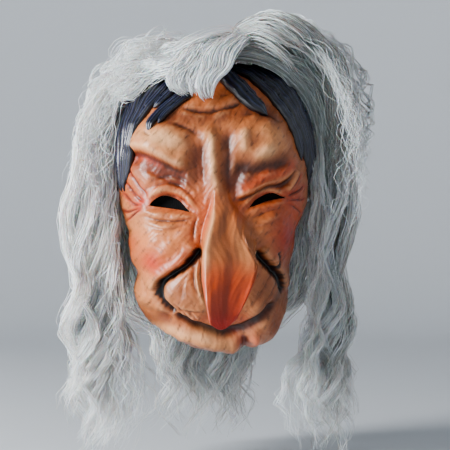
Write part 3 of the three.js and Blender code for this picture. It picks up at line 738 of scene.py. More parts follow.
def add_face():
    outer, inner, marks = face_surfaces()
    n, m = FACE_CELLS + 1, FACE_CELLS // FACE_STEP + 1
    points = np.vstack([outer.reshape(-1, 3), inner.reshape(-1, 3)])
    raw = np.broadcast_to(srgb(222, 180, 140), (m * m, 3))
    colours = np.vstack([paint_face(marks).reshape(-1, 3), raw])
    around, within = border(n, 1), border(m, 1) + n * n
    strip = []
    for k in range(len(within)):
        following = within[(k + 1) % len(within)]
        edge = [around[(k * FACE_STEP + q) % len(around)] for q in range(FACE_STEP + 1)]
        strip += [(edge[q + 1], edge[q], within[k]) for q in range(FACE_STEP)]
        strip.append((following, edge[FACE_STEP], within[k]))
    faces = np.vstack([grid_faces(n, n), grid_faces(m, m, n * n, flip=True), strip])
    return make_mesh("crone_face", points, faces, {"paint": colours})


def eye_cutter(name, outline):
    """A block with the outline of an eye hole, long enough to go right through the face."""
    y_front, y_back = -170, -60
    curve = spline(np.array(outline + outline[:1], float), 6)[:0:-1]
    count = len(curve)
    front = [(x, y_front, z) for x, z in curve]
    back = [(x, y_back, z) for x, z in curve]
    faces = [tuple(range(count)), tuple(reversed(range(count, 2 * count)))]
    faces += [((k + 1) % count, k, k + count, (k + 1) % count + count) for k in range(count)]
    mesh = bpy.data.meshes.new(name)
    mesh.from_pydata([tuple(c * MM for c in p) for p in front + back], [], faces)
    mesh.update()
    cutter = bpy.data.objects.new(name, mesh)
    bpy.context.scene.collection.objects.link(cutter)
    return cutter


def coordinates(mesh):
    flat = np.empty(len(mesh.vertices) * 3, np.float32)
    mesh.vertices.foreach_get("co", flat)
    return flat.reshape(-1, 3)


def cut(piece, cutter):
    """Cut a hole; its new edge gets the paint of the skin nearest to it."""
    tree = KDTree(len(piece.data.vertices))
    colour = np.empty(len(piece.data.vertices) * 4, np.float32)
    piece.data.color_attributes["paint"].data.foreach_get("color", colour)
    for k, v in enumerate(coordinates(piece.data)):
        tree.insert(v, k)
    tree.balance()
    modifier = piece.modifiers.new("cut", "BOOLEAN")
    modifier.operation, modifier.object, modifier.solver = "DIFFERENCE", cutter, "EXACT"
    bpy.context.view_layer.objects.active = piece
    bpy.ops.object.modifier_apply(modifier=modifier.name)
    bpy.data.objects.remove(cutter)
    nearest = [tree.find(v)[1] for v in coordinates(piece.data)]
    piece.data.color_attributes["paint"].data.foreach_set("color", colour.reshape(-1, 4)[nearest].ravel())


# ---------- materials ----------

class Nodes:
    """Short ways to wire a material's nodes."""

    def __init__(self, name):
        self.material = bpy.data.materials.new(name)
        self.material.use_nodes = True
        self.tree = self.material.node_tree
        self.shader = self.tree.nodes["Principled BSDF"]

    def add(self, kind, **settings):
        node = self.tree.nodes.new(kind)
        for key, value in settings.items():
            if key in node.inputs:
                node.inputs[key].default_value = value
            else:
                setattr(node, key, value)
        return node

    def join(self, output, target):
        self.tree.links.new(output, target)

    def noise(self, scale, detail=4.0, roughness=0.55):
        node = self.add("ShaderNodeTexNoise", Scale=scale, Detail=detail, Roughness=roughness)
        self.join(self.place(), node.inputs["Vector"])
        return node.outputs["Fac"]

    def place(self):
        return self.add("ShaderNodeTexCoord").outputs["Object"]

    def ramp(self, value, stops):
        node = self.add("ShaderNodeValToRGB")
        self.join(value, node.inputs["Fac"])
        ramp = node.color_ramp
        while len(ramp.elements) < len(stops):
            ramp.elements.new(0.5)
        for element, (position, colour) in zip(ramp.elements, stops):
            element.position = position
            element.color = (*colour, 1)
        return node.outputs["Color"]

    def between(self, value, low, high):
        node = self.add("ShaderNodeMapRange")
        self.join(value, node.inputs["Value"])
        node.inputs["To Min"].default_value = low
        node.inputs["To Max"].default_value = high
        return node.outputs["Result"]

    def mix(self, factor, a, b, blend="MIX"):
        node = self.add("ShaderNodeMix", data_type="RGBA", blend_type=blend)
        for socket, value in ((0, factor), (6, a), (7, b)):
            if isinstance(value, (int, float)):
                node.inputs[socket].default_value = value
            elif isinstance(value, (tuple, list, np.ndarray)):
                node.inputs[socket].default_value = (*value, 1)
            else:
                self.join(value, node.inputs[socket])
        return node.outputs[2]

    def bump(self, height, strength, distance, normal=None):
        node = self.add("ShaderNodeBump", Strength=strength, Distance=distance)
        self.join(height, node.inputs["Height"])
        if normal:
            self.join(normal, node.inputs["Normal"])
        return node.outputs["Normal"]

    def attribute(self, name):
        return self.add("ShaderNodeAttribute", attribute_name=name)

    def paint(self, colour):
        self.join(colour, self.shader.inputs["Base Color"])

    def roughness(self, scale, detail, low, high):
        self.join(self.between(self.noise(scale, detail), low, high), self.shader.inputs["Roughness"])

    def set(self, **constants):
        for key, value in constants.items():
            self.shader.inputs[key.replace("_", " ")].default_value = value



def latex_material():
    n = Nodes("airbrushed_latex")
    paint = n.attribute("paint").outputs["Color"]
    mottle = n.noise(55, 5, 0.6)
    grain = n.noise(420, 3, 0.6)
    shade = n.ramp(mottle, [(0.3, (0.84, 0.76, 0.70)), (0.52, (1, 1, 1)), (0.75, (1.0, 0.95, 0.88))])
    mottled = n.mix(0.6, paint, shade, "MULTIPLY")
    speckled = n.mix(0.3, mottled, n.ramp(grain, [(0.4, (0.74, 0.62, 0.52)), (0.58, (1, 1, 1))]), "MULTIPLY")
    n.paint(speckled)
    n.roughness(90, 3, 0.28, 0.5)
    pores = n.bump(n.noise(900, 2), 0.2, 0.0006)
    skin = n.bump(n.noise(260, 5, 0.7), 0.22, 0.0008, pores)
    n.join(n.bump(n.noise(95, 4, 0.6), 0.2, 0.002, skin), n.shader.inputs["Normal"])
    n.set(Subsurface_Weight=0.05, Subsurface_Scale=0.003, Specular_IOR_Level=0.42)
    n.shader.inputs["Subsurface Radius"].default_value = (1.0, 0.35, 0.2)
    return n.material


def fringe_material():
    n = Nodes("painted_slate_fringe")
    ridge = n.attribute("ridge").outputs["Fac"]
    brushed = n.mix(0.4, n.ramp(ridge, [(0.45, (0, 0, 0)), (0.9, (1, 1, 1))]),
                    n.ramp(n.noise(240, 4, 0.7), [(0.42, (0, 0, 0)), (0.62, (1, 1, 1))]), "MULTIPLY")
    colour = n.mix(brushed, srgb(4, 4, 9), srgb(46, 54, 88))
    n.paint(colour)
    n.roughness(120, 3, 0.2, 0.42)
    n.join(n.bump(n.noise(500, 4, 0.6), 0.35, 0.0008), n.shader.inputs["Normal"])
    n.set(Specular_IOR_Level=0.6)
    return n.material


def woven(name, colour, thread_mm, contrast):
    """A cloth of crossing threads, with a little mottling."""
    n = Nodes(name)
    place = n.place()
    waves = []
    for direction in ("X", "Z"):
        wave = n.add("ShaderNodeTexWave", wave_type="BANDS", bands_direction=direction,
                     Scale=1 / (thread_mm * MM) / 20 * math.pi, Distortion=1.2)
        n.join(place, wave.inputs["Vector"])
        waves.append(wave.outputs["Fac"])
    threads = n.mix(0.5, *waves)
    dark = tuple(float(c) * (1 - contrast) for c in colour)
    cloth = n.mix(threads, dark, tuple(float(c) for c in colour))
    mottle = n.ramp(n.noise(70, 4), [(0.3, (0.8, 0.8, 0.8)), (0.65, (1, 1, 1))])
    n.paint(n.mix(0.7, cloth, mottle, "MULTIPLY"))
    n.join(n.bump(threads, 0.5, 0.0004), n.shader.inputs["Normal"])
    n.roughness(150, 2, 0.78, 0.9)
    return n.material


def metal_material():
    n = Nodes("nickelled_rivet")
    wear = n.noise(300, 4)
    n.paint(n.ramp(wear, [(0.35, (0.42, 0.41, 0.39)), (0.6, (0.72, 0.71, 0.69))]))
    n.roughness(700, 3, 0.18, 0.42)
    n.set(Metallic=1.0)
    return n.material


def plastic_material():
    n = Nodes("black_slider_plastic")
    n.paint(n.ramp(n.noise(180, 4), [(0.3, (0.012, 0.012, 0.013)), (0.7, (0.03, 0.03, 0.032))]))
    n.roughness(400, 3, 0.3, 0.5)
    n.join(n.bump(n.noise(1500, 2), 0.15, 0.0003), n.shader.inputs["Normal"])
    return n.material


def hair_material():
    n = Nodes("white_nylon_hair")
    tone_and_shade = n.attribute("tone_and_shade").outputs["Fac"]
    along = n.attribute("along").outputs["Fac"]
    # each strand's tone, set darker where shade is painted into the crown and the falls
    colour = n.ramp(tone_and_shade, [(0.0, (0.34, 0.35, 0.33)), (0.2, (0.60, 0.61, 0.59)), (0.4, (0.88, 0.88, 0.87)),
                           (0.8, (0.98, 0.98, 0.99)), (1.0, (0.96, 0.92, 0.84))])
    # painted shade: strands darker towards their roots, deep in the hair
    deep = n.ramp(along, [(0.0, (0.70, 0.70, 0.68)), (0.2, (1, 1, 1)), (1.0, (1, 1, 1))])
    streak = n.ramp(n.noise(130, 2), [(0.35, (0.9, 0.9, 0.9)), (0.6, (1, 1, 1))])
    n.paint(n.mix(1.0, n.mix(1.0, colour, deep, "MULTIPLY"), streak, "MULTIPLY"))
    n.roughness(60, 2, 0.25, 0.42)
    n.set(Specular_IOR_Level=0.6, Subsurface_Weight=0.3, Subsurface_Scale=0.004)
    return n.material


face = add_face()
cut(face, eye_cutter("right_eye_cut", RIGHT_EYE))
cut(face, eye_cutter("left_eye_cut", LEFT_EYE))
put(face, latex_material(), "mask", "latex_face")


# ---------- the fringe moulded on the latex ----------

# Each strand: its points as (turn about Z, height), its width and how far it stands out.
FRINGE = [
    ([(-88, 112), (-90, 96), (-82, 62), (-75, 36), (-69, 10)], 14, 5.4),
    ([(-72, 112), (-67, 92), (-64, 64), (-61, 40), (-61, 10)], 14, 6.0),
    ([(-57, 114), (-56, 92), (-55, 66), (-55, 42), (-57, 10)], 14, 5.4),
    ([(-46, 114), (-46, 94), (-48, 72), (-50, 50), (-53, 20)], 13, 4.8),
    ([(-37, 116), (-40, 100), (-44, 84), (-48, 68), (-52, 52)], 11, 3.4),
    ([(-20, 106), (-26, 98), (-33, 86), (-36.5, 73), (-37, 60)], 8.5, 3.8),
    ([(-20, 100), (-26, 92), (-31, 81), (-33, 70)], 6, 3.2),
    ([(-28, 114), (-31, 106), (-35, 97), (-39, 86)], 10, 3.0),
    ([(1, 130), (7, 119), (14, 105), (20, 94), (28, 81)], 17, 6.2),
    ([(9, 130), (15, 117), (20, 105), (24, 96)], 8, 4.4),
    ([(24, 130), (31, 113), (37, 95), (42, 78), (46, 58), (50, 40)], 11, 4.6),
    ([(36, 130), (40, 113), (45, 96), (49, 78), (53, 56), (58, 34)], 12, 6.6),
    ([(47, 130), (51, 113), (54, 96), (57, 76), (61, 54), (66, 22)], 12, 8.6),
    ([(59, 128), (62, 112), (65, 96), (67, 76), (69, 54), (72, 18)], 11.5, 10.5),
    ([(72, 124), (74, 108), (76, 90), (77, 68), (78, 46), (79, 20)], 11.5, 11.5),
    ([(86, 120), (87, 104), (88, 86), (88, 64), (87, 44), (86, 26)], 15, 10.5)]


def strand_of_fringe(points, width, stands):
    """A tapering ribbon on the head form: rounded across, with fine ridges, flat beneath."""
    path = spline(np.array(points, float), 10)
    s = np.linspace(0, 1, len(path))
    at = round_about(path[:, 0], path[:, 1], 1.0)
    out = outwards(at)
    lift = np.clip(sculpt(at[:, 0], at[:, 2])[0], -3, 8) * on_the_front(at[:, 1])
    at = at + out * lift[:, None]
    along = unit(np.gradient(at, axis=0))
    across = unit(np.cross(along, out))
    body = np.sqrt(np.clip(1 - smooth(s, 0.72, 1.0) ** 2, 0, 1)) * (0.85 + 0.15 * smooth(s, 0, 0.3))
    body = np.maximum(body, 0.03)
    sides = 22
    a = np.linspace(0, np.pi, sides)
    ridges = 0.5 + 0.5 * np.cos(a[None] * 9 + 2.2 * np.sin(3 * s[:, None] + points[0][0]))
    high = stands * np.sin(a)[None] ** 0.7 * (1 - 1.1 / stands + 1.1 / stands * ridges)
    top = (at[:, None] + across[:, None] * (-np.cos(a)[None, :, None] * (width / 2) * body[:, None, None])
           + out[:, None] * (high * body[:, None])[..., None])
    under = top[:, [-1, 0]] - out[:, None] * 2.2
    rings = np.concatenate([top, under], axis=1)
    ridge = np.concatenate([ridges * np.sin(a)[None] ** 0.5, np.zeros((len(s), 2))], axis=1)
    return rings, ridge


def closed_rings(rings):
    """The faces of a tube of rings with its two ends closed."""
    steps, sides = rings.shape[:2]
    row, k = np.meshgrid(np.arange(steps - 1) * sides, np.arange(sides), indexing="ij")
    a, b = (row + k).ravel(), (row + (k + 1) % sides).ravel()
    faces = np.vstack([np.stack([a, b + sides, b], 1), np.stack([a, a + sides, b + sides], 1)])
    fan = np.arange(1, sides - 1)
    last = (steps - 1) * sides
    start = np.stack([np.zeros_like(fan), fan, fan + 1], 1)
    end = np.stack([np.full_like(fan, last), last + fan + 1, last + fan], 1)
    return np.vstack([faces, start, end])


def add_fringe():
    points, faces, ridges, first = [], [], [], 0
    for strand in FRINGE:
        rings, ridge = strand_of_fringe(*strand)
        points.append(rings.reshape(-1, 3))
        faces.append(closed_rings(rings) + first)
        ridges.append(ridge.ravel())
        first += len(points[-1])
    fringe = make_mesh("moulded_fringe", np.vstack(points), np.vstack(faces),
                       values={"ridge": np.concatenate(ridges)})
    put(fringe, fringe_material(), "mask")


# ---------- hair ----------

LOCK_STEPS, STRAND_STEPS = 44, 25
STRANDS_PER_PIECE = 1150
WHORL = np.array([20, -4, 0])  # where the hair parts on the crown


def round_head(turn, z, offset):
    """The hair's surface at a turn about Z, 0 being forward and 90 the wearer's left, and a height."""
    t = np.radians(turn)
    half_x = (HALF_WIDTH + offset) * 0.96
    half_y = np.where(np.cos(t) > 0, FRONT, BACK) + offset
    height = np.clip((z - CENTRE_Z) / (ABOVE + offset), 0, 0.999)
    across = (abs(np.sin(t)) / half_x) ** 3 + (abs(np.cos(t)) / half_y) ** 3
    radius = ((1 - height**3) / across) ** (1 / 3)
    return np.stack([radius * np.sin(t), -radius * np.cos(t), np.broadcast_to(z, radius.shape)], axis=-1)


ROOM_LOW, ROOM_HIGH = np.array([list(v) for v in cad_box]) / MM
ROOM_MORE = 0.03 * (ROOM_HIGH - ROOM_LOW) + 8
ROOM_EDGE = 10  # hair that comes this close to the end of its room starts to bend back


def within_room(points):
    """Points bent back where they would stand too far out of the object's box."""
    over = np.maximum(points - (ROOM_HIGH + ROOM_MORE - ROOM_EDGE), 0)
    under = np.maximum(ROOM_LOW - ROOM_MORE + ROOM_EDGE - points, 0)
    kept_over, kept_under = ROOM_EDGE * np.tanh(over / ROOM_EDGE), ROOM_EDGE * np.tanh(under / ROOM_EDGE)
    return points - over + kept_over + under - kept_under


class Locks:
    """Strands gathered into wavy locks, then made into meshes of fine closed tubes."""

    def __init__(self):
        self.curves, self.radii, self.tones_and_shades = [], [], []

    def lock(self, guide, strands, width, thick, wave, reach, phase=None, by_height=False, ripple=1.6,
             tone_and_shade=None, radius=0.40, fray=0.5, tip=0.35, length=(0.80, 1.0), loose=1.6, curl=0.0):
        """One lock along a guide. width and thick are across and away from the head; wave is how far it
        swings, reach how long each wave is, ripple a finer wave on it, loose how far single strands
        wander, fray how far they part at the end, and curl how much more the lock swings there."""
        guide, total = even(spline(np.array(guide, float), 12), LOCK_STEPS)
        s = np.linspace(0, 1, LOCK_STEPS)
        along = unit(np.gradient(guide, axis=0))
        away = guide - np.array([0, 4, 0])
        away[:, 2] = np.where(guide[:, 2] > 20, guide[:, 2] - 20, 0) * 0.9
        away = unit(away - (away * along).sum(1, keepdims=True) * along)
        across = np.cross(along, away)
        phase = rng.uniform(0, 6.28) if phase is None else phase
        travelled = (90 - guide[:, 2]) if by_height else s * total
        turn = phase + 2 * np.pi * travelled / reach * (1 + 0.4 * smooth(s, 0.55, 1))
        swing = wave * smooth(s, 0.04, 0.45) * (1 + curl * smooth(s, 0.72, 1))
        fine = np.sin(rng.uniform(0, 6.28) + 2 * np.pi * s * total / rng.uniform(34, 52))
        fine = ripple * smooth(s, 0.05, 0.4) * fine
        guide = guide + across * (swing * np.sin(turn) + fine)[:, None]
        guide = guide + away * (0.55 * swing * np.cos(turn) + 0.6 * fine)[:, None]
        shape = (0.55 + 0.45 * smooth(s, 0, 0.25)) * (1 - (1 - tip) * smooth(s, 0.35, 1))
        tone_and_shade = rng.uniform(0, 1) if tone_and_shade is None else tone_and_shade
        for _ in range(strands):
            a, b = np.clip(rng.normal(0, 0.45), -1.1, 1.1), rng.uniform(-1, 1)
            flare = shape + fray * smooth(s, 0.55, 1) * abs(rng.normal(0, 0.6))
            wander = loose * smooth(s, 0.05, 0.6) * np.sin(
                rng.uniform(0, 6.28) + s * rng.uniform(3, 12)) * rng.uniform(0.2, 1)
            offset = across * (a * width * flare + wander)[:, None]
            offset = offset + away * (b * thick * flare + 0.6 * wander)[:, None]
            at = np.linspace(0, rng.uniform(*length), STRAND_STEPS)
            path = within_room(guide + offset)
            self.curves.append(np.stack([np.interp(at, s, path[:, c]) for c in range(3)], axis=1))
            self.radii.append(radius * rng.uniform(0.7, 1.2))
            self.tones_and_shades.append(np.clip(tone_and_shade + rng.normal(0, 0.16), 0, 1))

    def pieces(self, name, material):
        count = max(1, math.ceil(len(self.curves) / STRANDS_PER_PIECE))
        made = []
        for k, chunk in enumerate(np.array_split(np.arange(len(self.curves)), count)):
            tubes = self.tubes(name if count == 1 else f"{name}_{k + 1}", chunk)
            made.append(put(tubes, material))
        return made

    def tubes(self, name, chunk):
        sides = 3
        p = np.array([self.curves[k] for k in chunk])
        count, steps = p.shape[:2]
        s = np.linspace(0, 1, steps)
        radius = np.array([self.radii[k] for k in chunk])[:, None] * (1 - 0.55 * smooth(s, 0.75, 1))[None]
        along = unit(np.gradient(p, axis=1))
        ref = unit(rng.normal(size=(count, 1, 3)))
        one = unit(np.cross(along, np.broadcast_to(ref, along.shape)))
        two = np.cross(along, one)
        angle = 2 * np.pi * np.arange(sides) / sides
        ring = one[:, :, None] * np.cos(angle)[:, None] + two[:, :, None] * np.sin(angle)[:, None]
        points = (p[:, :, None] + ring * radius[:, :, None, None]).reshape(-1, 3)
        base = (np.arange(count) * steps * sides)[:, None, None]
        row = (np.arange(steps - 1) * sides)[None, :, None]
        k = np.arange(sides)[None, None, :]
        a, b = base + row + k, base + row + (k + 1) % sides
        faces = np.vstack([np.stack([a, b, b + sides], -1).reshape(-1, 3),
                           np.stack([a, b + sides, a + sides], -1).reshape(-1, 3)])
        first = base[:, 0, 0]
        last = first + (steps - 1) * sides
        caps = np.vstack([np.stack([first + 2, first + 1, first], 1),
                          np.stack([last, last + 1, last + 2], 1)])
        tone_and_shade = np.repeat([self.tones_and_shades[k] for k in chunk], steps * sides)
        root = np.tile(np.repeat(s, sides), count)
        return make_mesh(name, points, np.vstack([faces, caps]), values={"tone_and_shade": tone_and_shade, "along": root})


def over_dome(turn, polar, offset):
    """A point off the head at an angle from straight up, towards a turn about Z."""
    t, q = np.radians(turn), np.radians(polar)
    return on_head(np.array([np.sin(q) * np.sin(t), -np.sin(q) * np.cos(t), np.cos(q)]), offset)


def fall_guide(turn, depth, end_z, root=25.0, gather=1.0, drift=0.0):
    """From the crown over the dome of the head, then down to end_z."""
    points = [over_dome(turn, polar, 9 + (depth - 9) * (0.3 + 0.7 * k / 3))
              for k, polar in enumerate(np.linspace(root, 60, 4))]
    for k, z in enumerate(np.linspace(30, end_z, 7)):
        f = k / 6
        side = 180 if gather < 1 else turn
        here = side + (turn - side) * (1 + (gather - 1) * smooth(f, 0.25, 0.75))
        points.append(round_head(np.float64(here), np.float64(z), depth + drift * f))
    return points


def add_side_hair(side, name, node, material, turns, depths, clumps, strands, tones_and_shades, wave):
    """A fall beside the face: big wavy clumps, each of a few locks that swing together."""
    hair = Locks()
    for k in range(clumps):
        f = (k + 0.5) / clumps
        turn = side * (turns[0] + (turns[1] - turns[0]) * f)
        depth = depths[0] + (depths[1] - depths[0]) * rng.uniform(0, 1) ** 0.8
        end, root, drift = rng.uniform(-252, -190), rng.uniform(26, 46), rng.uniform(-22, 7)
        phase = 0.8 + side * 0.9 + depth * 0.03 + rng.uniform(-0.8, 0.8)
        swing, reach, tone_and_shade = wave * rng.uniform(0.6, 1.3), rng.uniform(118, 165), rng.uniform(*tones_and_shades)
        for _ in range(5):
            here = depth + rng.normal(0, 3)
            guide = fall_guide(turn + side * rng.normal(0, 3.5), here, min(end + rng.normal(0, 12), -150),
                               root=root, drift=drift)
            hair.lock(guide, strands, width=6, thick=4, wave=swing, reach=reach, by_height=True,
                      tone_and_shade=np.clip(tone_and_shade + rng.normal(0, 0.1), 0, 1), curl=0.3, loose=2.2, fray=0.9,
                      phase=phase + rng.normal(0, 0.3), ripple=1.2, radius=0.34)
    # thin wisps inside the fall, beside the cheek
    for _ in range(9):
        turn = side * rng.uniform(turns[0] - 4, turns[0] + 12)
        guide = fall_guide(turn, rng.uniform(9, 18), rng.uniform(-240, -120), root=rng.uniform(40, 50),
                           drift=rng.uniform(-14, 10))
        hair.lock(guide, 4, width=7, thick=3, wave=10, reach=90, tone_and_shade=rng.uniform(*tones_and_shades), radius=0.28,
                  loose=4, fray=1.4, by_height=True)
    # long wisps that stray inwards below the jaw and curl at their ends
    for _ in range(15):
        x, y, inward = side * rng.uniform(94, 106), rng.uniform(-46, -12), rng.uniform(0, 42)
        guide = [over_dome(side * 84, 42, 20), (x, y, 26), (x, y - 4, -60),
                 (x - side * 0.35 * inward, y - 6, -130),
                 (x - side * inward, y - 4, -188), (x - side * (inward - 26), y, rng.uniform(-250, -222))]
        hair.lock(guide, 7, width=5, thick=3, wave=rng.uniform(5, 11), reach=rng.uniform(60, 100), loose=3,
                  tone_and_shade=rng.uniform(*tones_and_shades), radius=0.28, fray=1.4, ripple=2)
    made = hair.pieces(name, material)
    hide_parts(node)
    for piece in made:
        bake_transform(piece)


def add_back_hair(material):
    hair = Locks()
    for k in range(150):
        turn = 118 + 124 * (k + 0.5) / 150 + rng.uniform(-2, 2)
        depth = 11 + 27 * rng.uniform(0, 1) ** 0.8
        guide = fall_guide(turn, depth, rng.uniform(-256, -190), root=rng.uniform(18, 58), gather=0.3,
                           drift=rng.uniform(-8, 4))
        hair.lock(guide, 11, width=9, thick=4, wave=rng.uniform(5, 9), reach=rng.uniform(115, 140),
                  by_height=True, phase=turn * 0.03 + depth * 0.03 + rng.uniform(-0.6, 0.6), curl=0.6)
    made = hair.pieces("locks_back", material)
    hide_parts("hair_back_left", "hair_back_middle", "hair_back_right")
    for piece in made:
        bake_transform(piece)


def crown_lift(turn, polar):
    """How high the hair of the crown stands: higher on the wearer's left, low at the parting."""
    towards = np.sin(np.radians(turn)) * np.sin(np.radians(polar))
    high = 17 + 31 * smooth(towards, -0.3, 0.3)
    return high * (0.35 + 0.65 * smooth(polar, 0, 16)) * (1 - 0.3 * smooth(polar, 45, 80))


def add_crown_hair(material):
    hair = Locks()
    for k in range(190):
        start = -180 + 360 * (k + rng.uniform(0, 1)) / 190
        forward = abs(start) < 62
        deep = rng.uniform(0.35, 1.0)
        end = rng.uniform(62, 84)
        guide = []
        for polar in (rng.uniform(0, 4), 14, 27, 41, 55, 70, end):
            turn = start
            if forward:
                side = math.copysign(rng.uniform(92, 98), start)
                turn = start + (side - start) * smooth(polar, 12, 52)
            elif abs(start) < 90:
                turn = start + math.copysign(10, start) * smooth(polar, 20, 60)
            p = over_dome(turn, polar, 8 + crown_lift(turn, polar) * deep)
            weight = 1 - smooth(polar, 0, 45)
            guide.append(p + WHORL * weight)
        # painted shade: crown locks on the wearer's left, away from the window light, get darker tones
        shaded = smooth(np.sin(np.radians(start)), -0.3, 0.4)
        hair.lock(guide, 10, width=8, thick=5, wave=rng.uniform(3, 8), reach=rng.uniform(60, 95), tip=0.9,
                  length=(0.85, 1.0), loose=2.6, ripple=1.8, phase=start * 0.05 + rng.uniform(-0.5, 0.5),
                  tone_and_shade=rng.uniform(0.35, 0.9) * (1 - 0.92 * shaded))
    # the front edge of the crown, over the top of the fringe on the wearer's left, in dark tones that are
    # painted shade
    for k in range(46):
        f = k / 45
        lift = 9 + 16 * f * rng.uniform(0.6, 1.1)
        guide = [over_dome(turn, polar - back * f, lift + extra) for turn, polar, back, extra in (
            (-14, 8, 2, 4), (14, 17, 3, 5), (38, 25, 5, 6), (58, 31, 5, 5), (72, 39, 5, 5), (81, 52, 3, 7))]
        guide += [round_head(np.float64(88), np.float64(z), lift + 7) for z in (38, 4, -30)]
        hair.lock(guide, 10, width=6, thick=4, wave=3.5, reach=88, tip=0.8, tone_and_shade=rng.uniform(0, 0.22),
                  phase=2 + 1.5 * f, loose=2.2, ripple=1.4)
    made = hair.pieces("locks_crown", material)
    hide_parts("hair_crown_front", "hair_crown_back")
    for piece in made:
        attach(piece, "mask")


def add_forelock(material):
    """The tongue of hair that drops from the parting on to the middle of the forehead."""
    hair = Locks()
    for k in range(22):
        f = k / 21
        guide = [(26 + 12 * f, -16, 150), (18 + 18 * f, -38, 161), (6 + 20 * f, -66, 154),
                 (-10 + 24 * f, -90, 134 + 2 * f), (-20 + 22 * f, -101, 114 + 4 * f),
                 (-18 + 12 * f, -105, 98 + 7 * f), (-14 + 4 * f, -105, 93 + 3 * f)]
        hair.lock(guide, 14, width=5, thick=4, wave=2.2, reach=80, tip=0.5, fray=0.05, length=(0.9, 1.0),
                  tone_and_shade=rng.uniform(0.6, 0.95), loose=0.9, phase=0.4 + 0.9 * f, ripple=0.6)
    made = hair.pieces("locks_forelock", material)
    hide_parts("hair_forelock")
    for piece in made:
        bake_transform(piece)


def add_tuft(material):
    """The bright locks that sweep from the parting across the brow to the wearer's right."""
    tuft = Locks()
    for k in range(34):
        f = k / 33
        guide = [(16 - 8 * f, -12, 146 - 4 * f), (0 - 10 * f, -40 - 10 * f, 156 - 8 * f),
                 (-26 - 8 * f, -62 - 14 * f, 150 - 12 * f), (-52 - 2 * f, -62 - 8 * f, 136 - 18 * f),
                 (-80, -44 - 6 * f, 124 - 16 * f), (-104, -28, 104 - 14 * f), (-120, -12, 76 - 12 * f),
                 (-128, -4, 40 - 10 * f)]
        tuft.lock(guide, 12, width=6, thick=5, wave=6.5, reach=62, tip=0.8, tone_and_shade=rng.uniform(0.6, 1),
                  ripple=1.8, phase=0.6 + 1.4 * f, loose=1.6)
    for k in range(26):
        f = k / 25
        guide = [(16 - 10 * f, -24, 158), (2 - 16 * f, -60, 154), (-12 - 22 * f, -84, 136 - 4 * f),
                 (-20 - 26 * f, -95, 118 - 2 * f), (-24 - 22 * f, -100 + 4 * f, 106 + f),
                 (-20 - 14 * f, -104 + 5 * f, 98 + 3 * f)]
        tuft.lock(guide, 11, width=5, thick=4, wave=2, reach=70, tip=0.5, fray=0.15, tone_and_shade=rng.uniform(0.5, 1),
                  length=(0.9, 1.0), loose=1.2)
    made = tuft.pieces("locks_tuft_right", material)
    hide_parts("hair_tuft_right")
    return made


def add_curls(material):
    """Corkscrew curls that stand off both sides of the crown and the tops of the falls."""
    curl = Locks()
    for k in range(64):
        side = 1 if k % 2 else -1
        turn, start = side * rng.uniform(90 if side > 0 else 76, 124), rng.uniform(10, 34)
        rise = rng.uniform(6, 26 if side > 0 else 18)
        guide = []
        for q in range(5):
            polar = start + q * rng.uniform(9, 14)
            lift = 16 + crown_lift(turn, polar) * 0.8 + rise * math.sin(math.pi * (q + 0.5) / 5)
            guide.append(over_dome(turn + rng.uniform(-6, 6), min(polar, 84), lift))
        curl.lock(guide, 7, width=2.6, thick=2.6, wave=rng.uniform(6, 11), reach=rng.uniform(30, 48), tip=0.8,
                  tone_and_shade=rng.uniform(0.3, 0.9), radius=0.27, loose=1.8, fray=1.0, ripple=1)
    made = curl.pieces("locks_curl", material)
    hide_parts("hair_curl_left")
    return made


def add_flyaways(material):
    """Single hairs that stand away from the crown and the falls."""
    stray = Locks()
    for _ in range(300):
        turn = rng.uniform(-170, 170)
        if abs(turn) < 50:
            turn = math.copysign(50 + abs(turn) / 2, turn)
        start = rng.uniform(10, 50)
        far = rng.uniform(46, 66) if turn > 0 else rng.uniform(34, 60)
        points = []
        for k in range(4):
            polar = start + k * rng.uniform(9, 20)
            lift = 14 + crown_lift(turn, polar) * 0.7
            points.append(over_dome(turn + rng.uniform(-7, 7), polar, lift + (far - lift) * smooth(k, 0, 3)))
        stray.lock(points, 1, width=3, thick=3, wave=rng.uniform(3, 9), reach=rng.uniform(30, 60), radius=0.2,
                   loose=4, ripple=2.5, tone_and_shade=rng.uniform(0.3, 0.9))
    # fluff over the crown on the wearer's right
    for _ in range(54):
        turn, start, rise = rng.uniform(-132, -48), rng.uniform(4, 22), rng.uniform(8, 28)
        step = 11 if turn < -76 else 7
        points = [over_dome(turn + rng.uniform(-9, 9), start + q * rng.uniform(0.7, 1.2) * step,
                            16 + rise * math.sin(math.pi * (q + 0.6) / 5)) for q in range(5)]
        stray.lock(points, 5, width=5, thick=5, wave=rng.uniform(5, 11), reach=rng.uniform(32, 58),
                   radius=0.2, loose=4, ripple=2, fray=1.6, tone_and_shade=rng.uniform(0.5, 1))
    return stray.pieces("locks_flyaway", material)


hair_look = hair_material()
add_fringe()
add_side_hair(-1, "locks_side_right", "hair_side_right", hair_look, turns=(74, 120),
              depths=(12, 50), clumps=25, strands=13, tones_and_shades=(0.5, 0.95), wave=15)
# the fall on the wearer's left gets darker tones: painted shade on the side away from the window light
add_side_hair(1, "locks_side_left", "hair_side_left", hair_look, turns=(84, 124),
              depths=(16, 52), clumps=17, strands=11, tones_and_shades=(0.1, 0.8), wave=13)
add_back_hair(hair_look)
add_crown_hair(hair_look)
add_forelock(hair_look)
for piece in add_tuft(hair_look) + add_curls(hair_look) + add_flyaways(hair_look):
    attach(piece, "mask")


# ---------- the gauze, the net cap, its tapes, the strap and the fittings ----------

